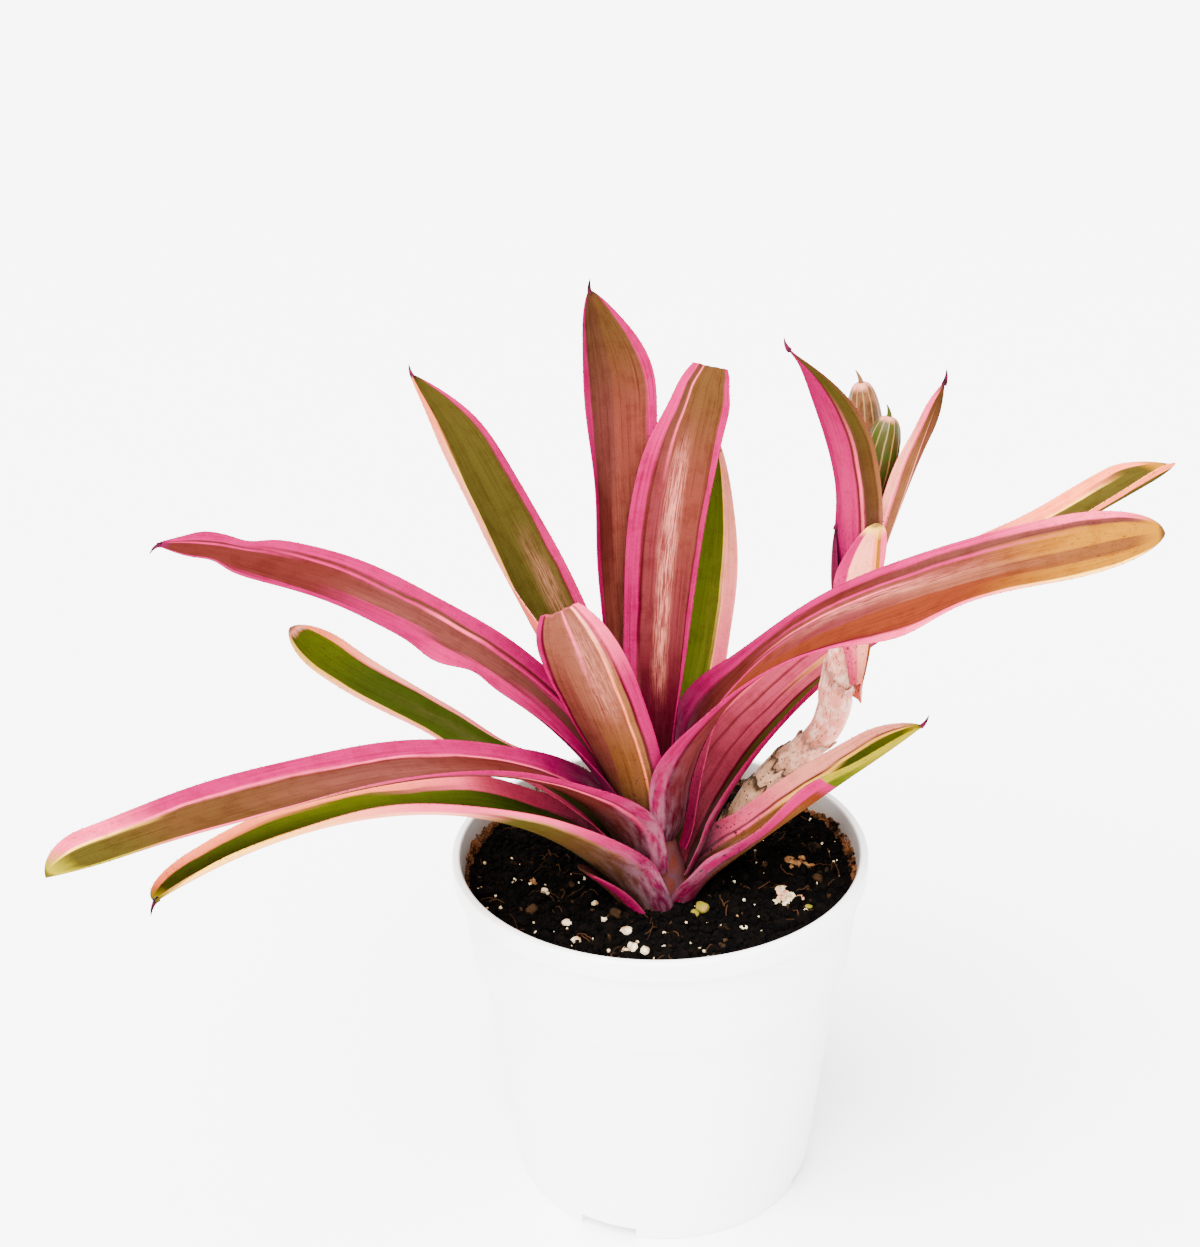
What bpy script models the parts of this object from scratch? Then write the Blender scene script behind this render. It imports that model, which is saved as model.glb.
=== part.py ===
"""A small potted bromeliad with one pup on a stolon.

The plant is a rosette of strap leaves. Each leaf wraps the short stem at its foot as part of a cone, then
opens into a cupped blade that arches outward. A scaly stolon rises from the soil on the right and carries a
pup of two leaves, two rolled young leaves and two bracts. It all stands in a plain nursery pot.

Units are metres. +Z is up, -Y is the front, and the origin is the middle of the pot's flat underside.
"""
import math
from dataclasses import dataclass

import bmesh
import bpy
from mathutils import Vector

MM = 0.001
GAP = 0.3 * MM

# Pot
POT_HEIGHT = 95 * MM
RIM_RADIUS = 54 * MM
MOUTH_RADIUS = 51.8 * MM
LIP_DROP = 5.5 * MM
BAND_TOP_RADIUS = 51.6 * MM
BAND_TOP_Z = 83 * MM
BAND_FOOT_RADIUS = 50 * MM
BAND_FOOT_Z = 67 * MM
BODY_TOP_RADIUS = 47.6 * MM
BODY_TOP_Z = 63 * MM
FOOT_RADIUS = 40.5 * MM
WALL = 1.4 * MM
FOOT_RING_WIDTH = 2.4 * MM
FLOOR_LIFT = 3 * MM
CENTRE_DISC_RADIUS = 26 * MM
POT_SEGMENTS = 48
NOTCH_COUNT = 4
NOTCH_FIRST = math.radians(-113.5)
NOTCH_ANGLE = math.radians(22)
NOTCH_HEIGHT = 3.2 * MM
DRAIN_RADIUS = 3.5 * MM

# Soil
SOIL_LEVEL = 86 * MM
SOIL_RELIEF = 0.55 * MM
SOIL_CLEARANCE = 0.5 * MM
SOIL_CRUST = 2.2 * MM
SOIL_RINGS = 9
STEM_HOLE_CENTRE = (-0.9, -8)
STEM_HOLE_RADIUS = 12.8 * MM
STEM_HOLE_FLOOR = 72 * MM
STOLON_HOLE_RADIUS = 5.6 * MM
STOLON_HOLE_FLOOR = 77 * MM
HOLE_SIDES = 20

# Leaves
LEAF_THICKNESS = 0.8 * MM
MARGIN_THINNING = 0.2 * MM
TIP_HALF_WIDTH = 0.5 * MM
SHEATH_WIDTH = 1.05
SHEATH_SPREAD = 0.28
SHEATH_REACH = 12
CLASP_LIMIT = 1.5
FLATTEST_CONE = 0.34
CUP_LOSS = 0.35
CHANNEL_REACH = 16
RIB_STEPS = 3
TIP_CROWDING = 1.35

# Stem and stolon
STEM_SIDES = 12
STEM_RINGS = 3
PUP_STEM_RINGS = 6
STOLON_SIDES = 14
STOLON_STEP = 2.2 * MM
SHEATH_FOOT_RADIUS = 3.9 * MM
SHEATH_RIM_RADIUS = 4.7 * MM
SHEATH_RIM_DEPTH = 0.3 * MM
SHEATH_RIMS = (18 * MM, 33 * MM, 46 * MM, 59.5 * MM)

# Rolled young leaves
BUD_RINGS = 12
BUD_SIDES = 12
BUD_WIDEST = 0.6
BUD_END_RADIUS = 0.9


@dataclass(frozen=True)
class Axis:
    """A stem that leaves grow from: its foot, top, radius at each, and how steeply its sheaths rise."""
    foot: tuple
    top: tuple
    foot_radius: float
    top_radius: float
    sheath_slope: float

    def point(self, climb):
        """Centre and radius of the stem at a height climb (mm) along it."""
        foot, top = Vector(self.foot) * MM, Vector(self.top) * MM
        share = climb * MM / (top - foot).length
        return foot.lerp(top, share), (self.foot_radius + (self.top_radius - self.foot_radius) * share) * MM

    def distance(self, point):
        """Distance of a point from the stem's centre line."""
        foot = Vector(self.foot) * MM
        along = (Vector(self.top) - Vector(self.foot)).normalized()
        reach = point - foot
        return (reach - along * reach.dot(along)).length


@dataclass(frozen=True)
class Leaf:
    """One leaf, in millimetres and degrees.

    azimuth is where it points (0 is +X, 90 is away from the viewer), climb is how far up the stem its foot
    is, slope holds the control angles of its rise from foot to tip, sweep turns it sideways towards its tip,
    twist turns the blade about its own midrib, and cup is half the angle that the blade's section spans.
    channel is the same angle at the foot, where the margins stand up, and it is gone at the share unfolds.
    """
    name: str
    azimuth: float
    climb: float
    length: float
    width: float
    slope: tuple
    colour: tuple
    sweep: float = 0
    twist: float = 0
    cup: float = 28
    taper: float = 0.65
    blunt: float = 0.75
    clasp: float = CLASP_LIMIT
    sheath: float = SHEATH_WIDTH
    channel: float = 0
    unfolds: float = 0.3
    rows: int = 16
    columns: int = 6


@dataclass(frozen=True)
class Bud:
    """One rolled young leaf, in millimetres: foot, tip, radius and how far it bows along X and Y."""
    name: str
    foot: tuple
    tip: tuple
    radius: float
    bow: tuple
    colour: tuple


STEM = Axis(foot=(1.5, -8, 74), top=(-4, -4, 122), foot_radius=10, top_radius=1.6, sheath_slope=64)
PUP_STEM = Axis(foot=(46.5, 4, 134), top=(54.5, 12, 180), foot_radius=4.8, top_radius=1.6, sheath_slope=82)
STOLON_ROUTE = ((11.5, 6, 78), (12.5, 6, 83.6), (16.7, 6, 93.9), (24.5, 6, 107.1), (30.4, 6, 114.2),
                (36.7, 5, 119.3), (42.4, 4.2, 124.6), (45, 4, 129.5), PUP_STEM.foot)

GREEN = (0.16, 0.24, 0.03)
OLIVE = (0.26, 0.21, 0.06)
ROSE = (0.56, 0.13, 0.14)
PINK = (0.86, 0.16, 0.36)
ORANGE = (0.55, 0.17, 0.09)
PALE = (0.75, 0.42, 0.36)
DRY = (0.55, 0.40, 0.24)
DARK_STEM = (0.35, 0.28, 0.12)
WHITE = (0.9, 0.9, 0.89)
BLACK_SOIL = (0.02, 0.016, 0.013)

LEAVES = (
    Leaf("leaf_low_left", 202, 8.6, 140, 30, (65, 35, 11, 1, -5), GREEN,
         sweep=29, twist=31, cup=34, taper=0.87, clasp=1.5, sheath=1.35, channel=85, unfolds=0.6),
    Leaf("leaf_low_right", -9, 11, 75, 21.2, (42, 42, 42, 38, 37), GREEN,
         sweep=8, twist=-13, cup=57, taper=0.78, blunt=0.8, clasp=1.35, sheath=1.4, channel=85, unfolds=0.6),
    Leaf("leaf_green_left", 163, 13.5, 115, 21.6, (95, 26, -6, 19, 46), GREEN,
         sweep=-1, twist=4, cup=14, taper=0.88, blunt=0.55, clasp=1.25, sheath=1.15, channel=45),
    Leaf("leaf_rose_right", 34, 16, 195, 24.5, (73, 12, 3, 16, 17), ROSE,
         sweep=-8, twist=-13, cup=63, taper=0.93, clasp=1.3, sheath=1.25, channel=70, unfolds=0.42),
    Leaf("leaf_long_left", 211, 19, 164, 27.3, (81, 25, -5, 2, 1), ORANGE,
         sweep=6, twist=16, cup=33, taper=0.92, clasp=1.35, sheath=1.3, channel=80, unfolds=0.45),
    Leaf("leaf_green_back", 54, 22, 108, 16, (84, 62, 63, 83, 104), GREEN,
         sweep=-1, twist=-1, cup=28, taper=0.5, clasp=1.3, sheath=1.2, channel=40),
    Leaf("leaf_upper_left", 168, 25, 150, 22.8, (90, 31, 22, 25, 4), ROSE,
         sweep=6, twist=-12, cup=26, taper=0.66, clasp=1.25, sheath=1.15, channel=50, unfolds=0.25),
    Leaf("leaf_big_right", -19, 28, 154, 32, (93, 61, 17, 16, 19), ORANGE,
         sweep=2, twist=11, cup=16, taper=0.84, blunt=0.55, clasp=1.25, sheath=1.25, channel=75, unfolds=0.4),
    Leaf("leaf_short_front", -125, 31, 83, 20.9, (85, 66, 60, 62, 59), PALE,
         sweep=11, twist=35, cup=22, taper=0.6, blunt=0.45, clasp=1.15, sheath=1.1, channel=40),
    Leaf("leaf_olive", 143, 34, 125, 27.3, (70, 58, 55, 58, 43), OLIVE,
         sweep=-3, twist=17, cup=24, taper=0.66, clasp=1.2, sheath=1.1, channel=40),
    Leaf("leaf_top", 107, 37, 128, 23.5, (71, 86, 88, 80, 69), ROSE,
         sweep=17, twist=8, cup=29, taper=0.78, clasp=1.25, sheath=1.05, channel=40),
    Leaf("leaf_heart", 51, 40.3, 108, 24.3, (87, 87, 84, 75, 55), PINK,
         sweep=1, twist=9, cup=29, taper=0.55, blunt=0.5, clasp=1.35, sheath=1.05, channel=40),
    Leaf("bract_dry", 80, 8.6, 27, 8, (66, 70, 72, 76, 78), DRY,
         cup=34, taper=0.55, blunt=0.7, rows=9, columns=4),
    Leaf("sheath_old", 214, 5.8, 27, 14, (66, 60, 52, 46, 44), DRY,
         cup=30, taper=0.5, blunt=0.5, rows=9),
)

PUP_LEAVES = (
    Leaf("pup_bract_lower", 32, -5, 17, 8, (72, 72, 74, 76, 78), ROSE,
         cup=30, taper=0.5, blunt=0.6, rows=8, columns=4),
    Leaf("pup_bract_upper", -48, 2, 47, 12, (85, 89, 90, 87, 78), PALE,
         twist=-20, cup=30, taper=0.63, blunt=0.5, clasp=1.3, sheath=0.5, rows=12),
    Leaf("pup_bract_left", 178, 20, 25, 8, (78, 79, 82, 84, 84), ROSE,
         cup=30, taper=0.4, blunt=1, rows=8, columns=4),
    Leaf("pup_leaf_right", -28, 29, 57, 12.3, (78, 73, 75, 75, 66), ROSE,
         sweep=-14, twist=-18, cup=28, taper=0.61, blunt=1, clasp=1.3, rows=14),
    Leaf("pup_leaf_left", -135, 25.5, 75, 19, (85, 95, 81, 58, 41), PINK,
         sweep=-12, twist=-7, cup=29, taper=0.57, blunt=1, clasp=1.3, sheath=1, rows=14),
)

BUDS = (
    Bud("pup_bud_brown", (54.2, 13.05, 180.35), (51.2, 18.5, 214.5), 4.4, (0.5, 2.5), ROSE),
    Bud("pup_bud_green", (54.9, 11, 180.5), (59, 9, 206), 4.2, (-0.8, -1.2), GREEN),
)


def clear_scene():
    """Remove every object of the scene."""
    for thing in list(bpy.data.objects):
        bpy.data.objects.remove(thing, do_unlink=True)


def make_material(name, colour, roughness):
    """A Principled material of one colour."""
    material = bpy.data.materials.new(name)
    material.use_nodes = True
    shader = material.node_tree.nodes["Principled BSDF"]
    shader.inputs["Base Color"].default_value = (*colour, 1)
    shader.inputs["Roughness"].default_value = roughness
    shader.inputs["Metallic"].default_value = 0
    return material


def add_object(name, points, faces, material):
    """A smooth-shaded object of one closed mesh whose faces point out."""
    mesh = bpy.data.meshes.new(name)
    shape = bmesh.new()
    corners = [shape.verts.new(point) for point in points]
    for face in faces:
        shape.faces.new([corners[index] for index in face])
    bmesh.ops.recalc_face_normals(shape, faces=shape.faces)
    shape.to_mesh(mesh)
    shape.free()
    mesh.shade_smooth()
    mesh.set_sharp_from_angle(angle=math.radians(40))
    mesh.materials.append(material)
    thing = bpy.data.objects.new(name, mesh)
    bpy.context.scene.collection.objects.link(thing)
    return thing


def bernstein(controls, t):
    """Value at t of the smooth curve that the control values pull on."""
    order = len(controls) - 1
    return sum(math.comb(order, index) * t ** index * (1 - t) ** (order - index) * value
               for index, value in enumerate(controls))


def smooth_step(share):
    """A smooth rise from 0 to 1 as share does, and level on either side."""
    share = min(max(share, 0), 1)
    return share * share * (3 - 2 * share)


def rise_angle(leaf, axis, t):
    """How steeply the midrib climbs at t: alike for every leaf at the sheath, its own farther out."""
    share = smooth_step(t * leaf.length / SHEATH_REACH)
    return math.radians(axis.sheath_slope * (1 - share) + bernstein(leaf.slope, t) * share)


def heading(leaf, axis, t):
    """Unit vectors along the midrib, across the blade and out of its upper face."""
    rise = rise_angle(leaf, axis, t)
    turn = math.radians(leaf.azimuth + leaf.sweep * t * t)
    along = Vector((math.cos(rise) * math.cos(turn), math.cos(rise) * math.sin(turn), math.sin(rise)))
    level = Vector((-math.sin(turn), math.cos(turn), 0))
    upper = along.cross(level)
    roll = math.radians(leaf.twist) * t
    across = level * math.cos(roll) + upper * math.sin(roll)
    return along, across, upper * math.cos(roll) - level * math.sin(roll)


def section(leaf, axis, t, point):
    """Half the width and half the angle of the section's arc at t.

    The sheath wraps the stem as a cone does, and no farther round than the leaf's clasp. Farther out the
    blade keeps its own cup.
    """
    opening = leaf.sheath + (1 - leaf.sheath) * min(t / SHEATH_SPREAD, 1)
    closing = max(0, (t - leaf.taper) / (1 - leaf.taper))
    blade = max(leaf.width / 2 * MM * opening * (1 - closing ** 2) ** leaf.blunt, TIP_HALF_WIDTH)
    cone_radius = axis.distance(point) / max(math.sin(rise_angle(leaf, axis, t)), FLATTEST_CONE)
    half_width = (blade ** -4 + (leaf.clasp * cone_radius) ** -4) ** -0.25
    cup = math.radians(leaf.cup) * (1 - CUP_LOSS * t ** 3)
    raised = smooth_step(t * leaf.length / CHANNEL_REACH) * (1 - smooth_step(t / leaf.unfolds))
    channel = math.radians(leaf.channel) * raised
    return half_width, ((half_width / cone_radius) ** 4 + cup ** 4 + channel ** 4) ** 0.25


def leaf_faces(leaf, axis):
    """Rows of points on the leaf's upper face and on its lower face, from foot to tip."""
    centre, radius = axis.point(leaf.climb)
    outward = math.radians(leaf.azimuth)
    rib = centre + (radius + GAP + LEAF_THICKNESS / 2) * Vector((math.cos(outward), math.sin(outward), 0))
    upper_rows, lower_rows = [], []
    stops = [1 - (1 - row / leaf.rows) ** TIP_CROWDING for row in range(leaf.rows + 1)]
    for t, following in zip(stops, stops[1:] + [1]):
        _, across, upper = heading(leaf, axis, t)
        half_width, angle = section(leaf, axis, t, rib)
        radius = half_width / angle
        upper_row, lower_row = [], []
        for column in range(leaf.columns + 1):
            place = 2 * column / leaf.columns - 1
            bend = place * angle
            middle = rib + across * radius * math.sin(bend) + upper * radius * (1 - math.cos(bend))
            inward = upper * math.cos(bend) - across * math.sin(bend)
            thickness = LEAF_THICKNESS - MARGIN_THINNING * place * place
            upper_row.append(middle + inward * thickness / 2)
            lower_row.append(middle - inward * thickness / 2)
        upper_rows.append(upper_row)
        lower_rows.append(lower_row)
        stride = (following - t) / RIB_STEPS
        for step in range(RIB_STEPS):
            rib = rib + heading(leaf, axis, t + (step + 0.5) * stride)[0] * leaf.length * MM * stride
    return upper_rows, lower_rows


def build_leaf(leaf, axis):
    """One leaf as a thin closed blade, both faces split into triangles alike."""
    upper_rows, lower_rows = leaf_faces(leaf, axis)
    points = [point for rows in (upper_rows, lower_rows) for row in rows for point in row]
    across, count = leaf.columns + 1, (leaf.rows + 1) * (leaf.columns + 1)
    faces = []
    for row in range(leaf.rows):
        for column in range(leaf.columns):
            a = row * across + column
            b, c, d = a + 1, a + across + 1, a + across
            faces += [(a, b, c), (a, c, d)]
            faces += [(count + a, count + c, count + b), (count + a, count + d, count + c)]
    loop = [column for column in range(across)]
    loop += [row * across + leaf.columns for row in range(1, leaf.rows + 1)]
    loop += [leaf.rows * across + column for column in range(leaf.columns - 1, -1, -1)]
    loop += [row * across for row in range(leaf.rows - 1, 0, -1)]
    for here, there in zip(loop, loop[1:] + loop[:1]):
        faces += [(there, here, count + here), (there, count + here, count + there)]
    return add_object(leaf.name, points, faces, make_material(leaf.name, leaf.colour, 0.4))


def turned(profile, segments):
    """Points and faces of a closed turned solid; the profile runs from the axis round to the axis."""
    points, rings, faces = [], [], []
    for radius, height in profile:
        if radius == 0:
            rings.append([len(points)] * segments)
            points.append(Vector((0, 0, height)))
            continue
        rings.append(list(range(len(points), len(points) + segments)))
        for index in range(segments):
            angle = 2 * math.pi * index / segments
            points.append(Vector((radius * math.cos(angle), radius * math.sin(angle), height)))
    for lower, upper in zip(rings, rings[1:]):
        for index in range(segments):
            following = (index + 1) % segments
            face = [lower[index], lower[following], upper[following], upper[index]]
            face = [corner for place, corner in enumerate(face) if corner != face[place - 1]]
            faces.append(face)
    return points, faces


def body_radius(height):
    """Outer radius of the pot's body at a height below its step."""
    return FOOT_RADIUS + (BODY_TOP_RADIUS - FOOT_RADIUS) * height / BODY_TOP_Z


def pot_outline():
    """The pot's profile from the middle of its floor, up inside, over the lip, down and under."""
    floor = FLOOR_LIFT + WALL
    lip_foot = POT_HEIGHT - LIP_DROP
    ring_inside = FOOT_RADIUS - FOOT_RING_WIDTH
    edge = 0.5 * MM
    return [
        (0, floor), (body_radius(floor) - WALL, floor),
        (BODY_TOP_RADIUS - WALL, BODY_TOP_Z), (BAND_FOOT_RADIUS - WALL, BAND_FOOT_Z),
        (BAND_TOP_RADIUS - WALL, BAND_TOP_Z), (MOUTH_RADIUS - edge, SOIL_LEVEL + 4 * MM),
        (MOUTH_RADIUS, POT_HEIGHT - edge), (MOUTH_RADIUS + edge, POT_HEIGHT),
        (RIM_RADIUS - edge, POT_HEIGHT), (RIM_RADIUS, POT_HEIGHT - edge), (RIM_RADIUS, lip_foot),
        (RIM_RADIUS - edge, lip_foot - 2 * edge), (BAND_TOP_RADIUS, BAND_TOP_Z),
        (BAND_FOOT_RADIUS, BAND_FOOT_Z), (BODY_TOP_RADIUS, BODY_TOP_Z),
        (FOOT_RADIUS, edge), (FOOT_RADIUS - edge, 0), (ring_inside, 0),
        (ring_inside - edge, FLOOR_LIFT), (CENTRE_DISC_RADIUS + edge, FLOOR_LIFT),
        (CENTRE_DISC_RADIUS, 0), (0, 0),
    ]


def add_cutter(name, points, faces, target):
    """A hidden cutter and the Boolean on its target that uses it."""
    cutter = add_object(name, points, faces, target.data.materials[0])
    cutter.hide_render = True
    cutter.display_type = 'WIRE'
    cut = target.modifiers.new(name, 'BOOLEAN')
    cut.operation = 'DIFFERENCE'
    cut.solver = 'EXACT'
    cut.object = cutter
    return cutter


def prism(corners, low, high):
    """Points and faces of an upright prism on a flat outline."""
    count = len(corners)
    points = [Vector((x, y, z)) for z in (low, high) for x, y in corners]
    faces = [tuple(range(count)), tuple(range(2 * count - 1, count - 1, -1))]
    faces += [(i, (i + 1) % count, count + (i + 1) % count, count + i) for i in range(count)]
    return points, faces


def polar(radius, angle):
    """A flat point at a radius and an angle."""
    return radius * math.cos(angle), radius * math.sin(angle)


def circle(centre, radius):
    """Corners of a round hole about a centre."""
    return [(centre.x + x, centre.y + y) for x, y in
            (polar(radius, math.tau * side / HOLE_SIDES) for side in range(HOLE_SIDES))]


def build_pot():
    """The nursery pot with its foot notches and drain holes."""
    pot = add_object("pot", *turned(pot_outline(), POT_SEGMENTS), make_material("pot", WHITE, 0.4))
    ring_inside = FOOT_RADIUS - FOOT_RING_WIDTH - 1.5 * MM
    ring_outside = FOOT_RADIUS + 2 * MM
    for index in range(NOTCH_COUNT):
        middle = NOTCH_FIRST + index * math.tau / NOTCH_COUNT
        arc = [middle + NOTCH_ANGLE * (step / 4 - 0.5) for step in range(5)]
        outline = [polar(ring_inside, angle) for angle in arc]
        outline += [polar(ring_outside, angle) for angle in reversed(arc)]
        add_cutter(f"notch_cutter_{index}", *prism(outline, -1 * MM, NOTCH_HEIGHT), pot)
        drain = polar((CENTRE_DISC_RADIUS + ring_inside) / 2, middle)
        round_hole = [(drain[0] + x, drain[1] + y) for x, y in
                      (polar(DRAIN_RADIUS, math.tau * side / 12) for side in range(12))]
        add_cutter(f"drain_cutter_{index}", *prism(round_hole, FLOOR_LIFT - MM, FLOOR_LIFT + 2 * WALL), pot)
    return pot


def inner_radius(height):
    """Radius of the pot's inside at a height."""
    inside = [(h, r) for r, h in pot_outline()[1:7]]
    for (low, near), (high, far) in zip(inside, inside[1:]):
        if low <= height <= high:
            return near + (far - near) * (height - low) / (high - low)
    return inside[-1][1]


def soil_height(x, y):
    """Height of the soil: gentle lumps, with a crust that climbs the wall except at the front."""
    lumps = math.sin(x / MM * 0.23 + 1.1) * math.cos(y / MM * 0.19) + 0.6 * math.sin((x - 2 * y) / MM * 0.31)
    reach = math.hypot(x, y) / inner_radius(SOIL_LEVEL)
    angle = math.atan2(y, x)
    crust = SOIL_CRUST * max(0, reach - 0.8) / 0.2 * (0.5 + 0.5 * math.sin(angle + 0.15))
    return SOIL_LEVEL + SOIL_RELIEF * lumps + crust


def build_soil():
    """The plug of potting mix, with plain holes for the stem and the stolon."""
    floor = FLOOR_LIFT + WALL + GAP
    top_edge = inner_radius(SOIL_LEVEL) - SOIL_CLEARANCE
    side = [(0, floor)]
    for height in (floor, BODY_TOP_Z, BAND_FOOT_Z, BAND_TOP_Z):
        side.append((inner_radius(height) - SOIL_CLEARANCE, height))
    surface = [(top_edge * (1 - ring / SOIL_RINGS), SOIL_LEVEL) for ring in range(SOIL_RINGS)]
    points, faces = turned([*side, *surface, (0, SOIL_LEVEL)], POT_SEGMENTS)
    for point in points:
        if point.z == SOIL_LEVEL:
            point.z = soil_height(point.x, point.y)
    soil = add_object("soil", points, faces, make_material("soil", BLACK_SOIL, 0.9))
    stem_centre = Vector((*STEM_HOLE_CENTRE, 0)) * MM
    stolon_centre = Vector(STOLON_ROUTE[1]) * MM
    top = SOIL_LEVEL + 10 * MM
    stem_hole = circle(stem_centre, STEM_HOLE_RADIUS)
    stolon_hole = circle(stolon_centre, STOLON_HOLE_RADIUS)
    add_cutter("stem_hole_cutter", *prism(stem_hole, STEM_HOLE_FLOOR, top), soil)
    add_cutter("stolon_hole_cutter", *prism(stolon_hole, STOLON_HOLE_FLOOR, top), soil)
    return soil


def tube(stations, sides):
    """Points and faces of a closed tube through stations of centre, radius and direction."""
    points, faces = [], []
    level = Vector((0, 1, 0))
    for centre, radius, along in stations:
        across = along.cross(level).normalized()
        lift = across.cross(along)
        for side in range(sides):
            angle = math.tau * side / sides
            points.append(centre + radius * (across * math.cos(angle) + lift * math.sin(angle)))
    for ring in range(len(stations) - 1):
        for side in range(sides):
            following = (side + 1) % sides
            start = ring * sides
            faces.append((start + side, start + following, start + sides + following, start + sides + side))
    last = (len(stations) - 1) * sides
    faces.append(tuple(range(sides)))
    faces.append(tuple(range(last + sides - 1, last - 1, -1)))
    return points, faces


def stem_stations(axis, rings):
    """Stations evenly up a tapering stem."""
    along = (Vector(axis.top) - Vector(axis.foot)).normalized()
    length = (Vector(axis.top) - Vector(axis.foot)).length
    return [(*axis.point(length * ring / rings), along) for ring in range(rings + 1)]


def build_stem():
    """The short stem that the leaves wrap."""
    return add_object("stem", *tube(stem_stations(STEM, STEM_RINGS), STEM_SIDES),
                      make_material("stem", DARK_STEM, 0.6))


def smooth_route(stops, step):
    """Points about a step apart on a smooth curve through the stops."""
    points = []
    for index in range(len(stops) - 1):
        before, here, there, after = (stops[min(max(place, 0), len(stops) - 1)]
                                      for place in range(index - 1, index + 3))
        count = max(round((there - here).length / step), 1)
        for part in range(count):
            t = part / count
            points.append(0.5 * (2 * here + t * (there - before)
                                 + t ** 2 * (2 * before - 5 * here + 4 * there - after)
                                 + t ** 3 * (3 * here - before - 3 * there + after)))
    return points + [stops[-1]]


def build_stolon():
    """The runner in its overlapping sheaths, which ends as the pup's own short stem."""
    route = smooth_route([Vector(stop) * MM for stop in STOLON_ROUTE], STOLON_STEP)
    stations, reach, past = [], 0, 0
    for index, centre in enumerate(route):
        reach += (centre - route[index - 1]).length if index else 0
        along = (route[min(index + 1, len(route) - 1)] - route[max(index - 1, 0)]).normalized()
        begun = max((rim for rim in SHEATH_RIMS if rim <= reach), default=0)
        ended = min((rim for rim in SHEATH_RIMS if rim > reach), default=reach + STOLON_STEP)
        if begun > past:
            stations.append((centre - along * SHEATH_RIM_DEPTH, SHEATH_RIM_RADIUS, along))
            past = begun
        share = (reach - begun) / (ended - begun)
        radius = SHEATH_FOOT_RADIUS + (SHEATH_RIM_RADIUS - SHEATH_FOOT_RADIUS) * share
        stations.append((centre, radius, along))
    stations += stem_stations(PUP_STEM, PUP_STEM_RINGS)[1:]
    return add_object("stolon", *tube(stations, STOLON_SIDES), make_material("stolon", PALE, 0.6))


def build_bud(bud):
    """A rolled young leaf: a narrow foot that swells and then closes to a point."""
    foot, tip = Vector(bud.foot) * MM, Vector(bud.tip) * MM
    along = (tip - foot).normalized()
    stations = []
    for step in range(BUD_RINGS + 1):
        share = step / BUD_RINGS
        swell = math.sin(math.pi * min(share / (2 * BUD_WIDEST), 0.5)) if share < BUD_WIDEST else \
            math.sqrt(max(1 - ((share - BUD_WIDEST) / (1 - BUD_WIDEST)) ** 2, 0))
        radius = (BUD_END_RADIUS + (bud.radius - BUD_END_RADIUS) * swell) * MM
        centre = foot.lerp(tip, share) + Vector((*bud.bow, 0)) * MM * math.sin(math.pi * share)
        stations.append((centre, radius, along))
    return add_object(bud.name, *tube(stations, BUD_SIDES), make_material(bud.name, bud.colour, 0.4))


def main():
    """Build every piece."""
    clear_scene()
    build_pot()
    build_soil()
    build_stem()
    build_stolon()
    for leaf in LEAVES:
        build_leaf(leaf, STEM)
    for leaf in PUP_LEAVES:
        build_leaf(leaf, PUP_STEM)
    for bud in BUDS:
        build_bud(bud)


main()
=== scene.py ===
"""Looks of a small potted bromeliad with a pup on a stolon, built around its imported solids.

Every leaf wraps the short stem as part of a cone, opens through a deep channel and arches out as a cupped
blade with stripes of its own. Lengths are in millimetres in the tables and in metres in the meshes. +Z is up
and -Y is the front.
"""
import logging
import math
from dataclasses import dataclass
from enum import Enum

import bmesh
import bpy
import numpy as np
from bpy.types import ID, Material, Mesh, NodeSocket, NodeTree, Object
from mathutils import Matrix, Quaternion, Vector


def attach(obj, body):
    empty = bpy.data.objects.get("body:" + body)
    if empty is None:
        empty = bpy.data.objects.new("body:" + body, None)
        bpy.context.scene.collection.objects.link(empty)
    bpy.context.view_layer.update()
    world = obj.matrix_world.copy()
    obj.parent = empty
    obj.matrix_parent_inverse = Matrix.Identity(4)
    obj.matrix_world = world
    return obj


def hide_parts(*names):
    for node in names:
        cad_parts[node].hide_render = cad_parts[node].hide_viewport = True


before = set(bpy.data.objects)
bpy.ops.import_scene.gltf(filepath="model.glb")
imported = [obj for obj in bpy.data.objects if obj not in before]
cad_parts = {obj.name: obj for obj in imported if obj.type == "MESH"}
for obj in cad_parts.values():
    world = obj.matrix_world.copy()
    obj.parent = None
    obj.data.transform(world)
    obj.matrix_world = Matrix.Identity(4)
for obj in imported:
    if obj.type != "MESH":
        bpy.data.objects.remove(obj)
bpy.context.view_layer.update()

Array = np.ndarray
LOG = logging.getLogger("bromeliad")
BODY = "root"
MM = 0.001
GAP = 0.3
LEAF_THICKNESS = 0.8
MARGIN_THINNING = 0.42
TIP_HALF_WIDTH = 0.5
SHEATH_SPREAD = 0.28
SHEATH_REACH = 12
FLATTEST_CONE = 0.34
CHANNEL_REACH = 16
FACE_SHIFT = 57
# A zone lies this far from an end of the leaf, first where it fades out and then where it is full
SCURF_ZONE = (38, 4)
STAIN_ZONE = (34, 8)
BURNT_ZONE = (1.6, 0.4)
# Shares of a blade's length or width, and lengths in millimetres
GLEAM_BLUR = (0.08, 0.1)
MARGIN_WAVES = 4
WAVE_LENGTHS = (4, 13)
CREASE_DEPTH = 0.16
CREASE_WIDTH = 0.09
ROW_CROWDING = 1.25
MARGIN_ROUNDING = 0.05
TOOTHED = (0.16, 0.97)
SPINE_LENGTH = 3.4
SPINE_RADIUS = 0.62
SPINE_POINT = 0.06


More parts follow.
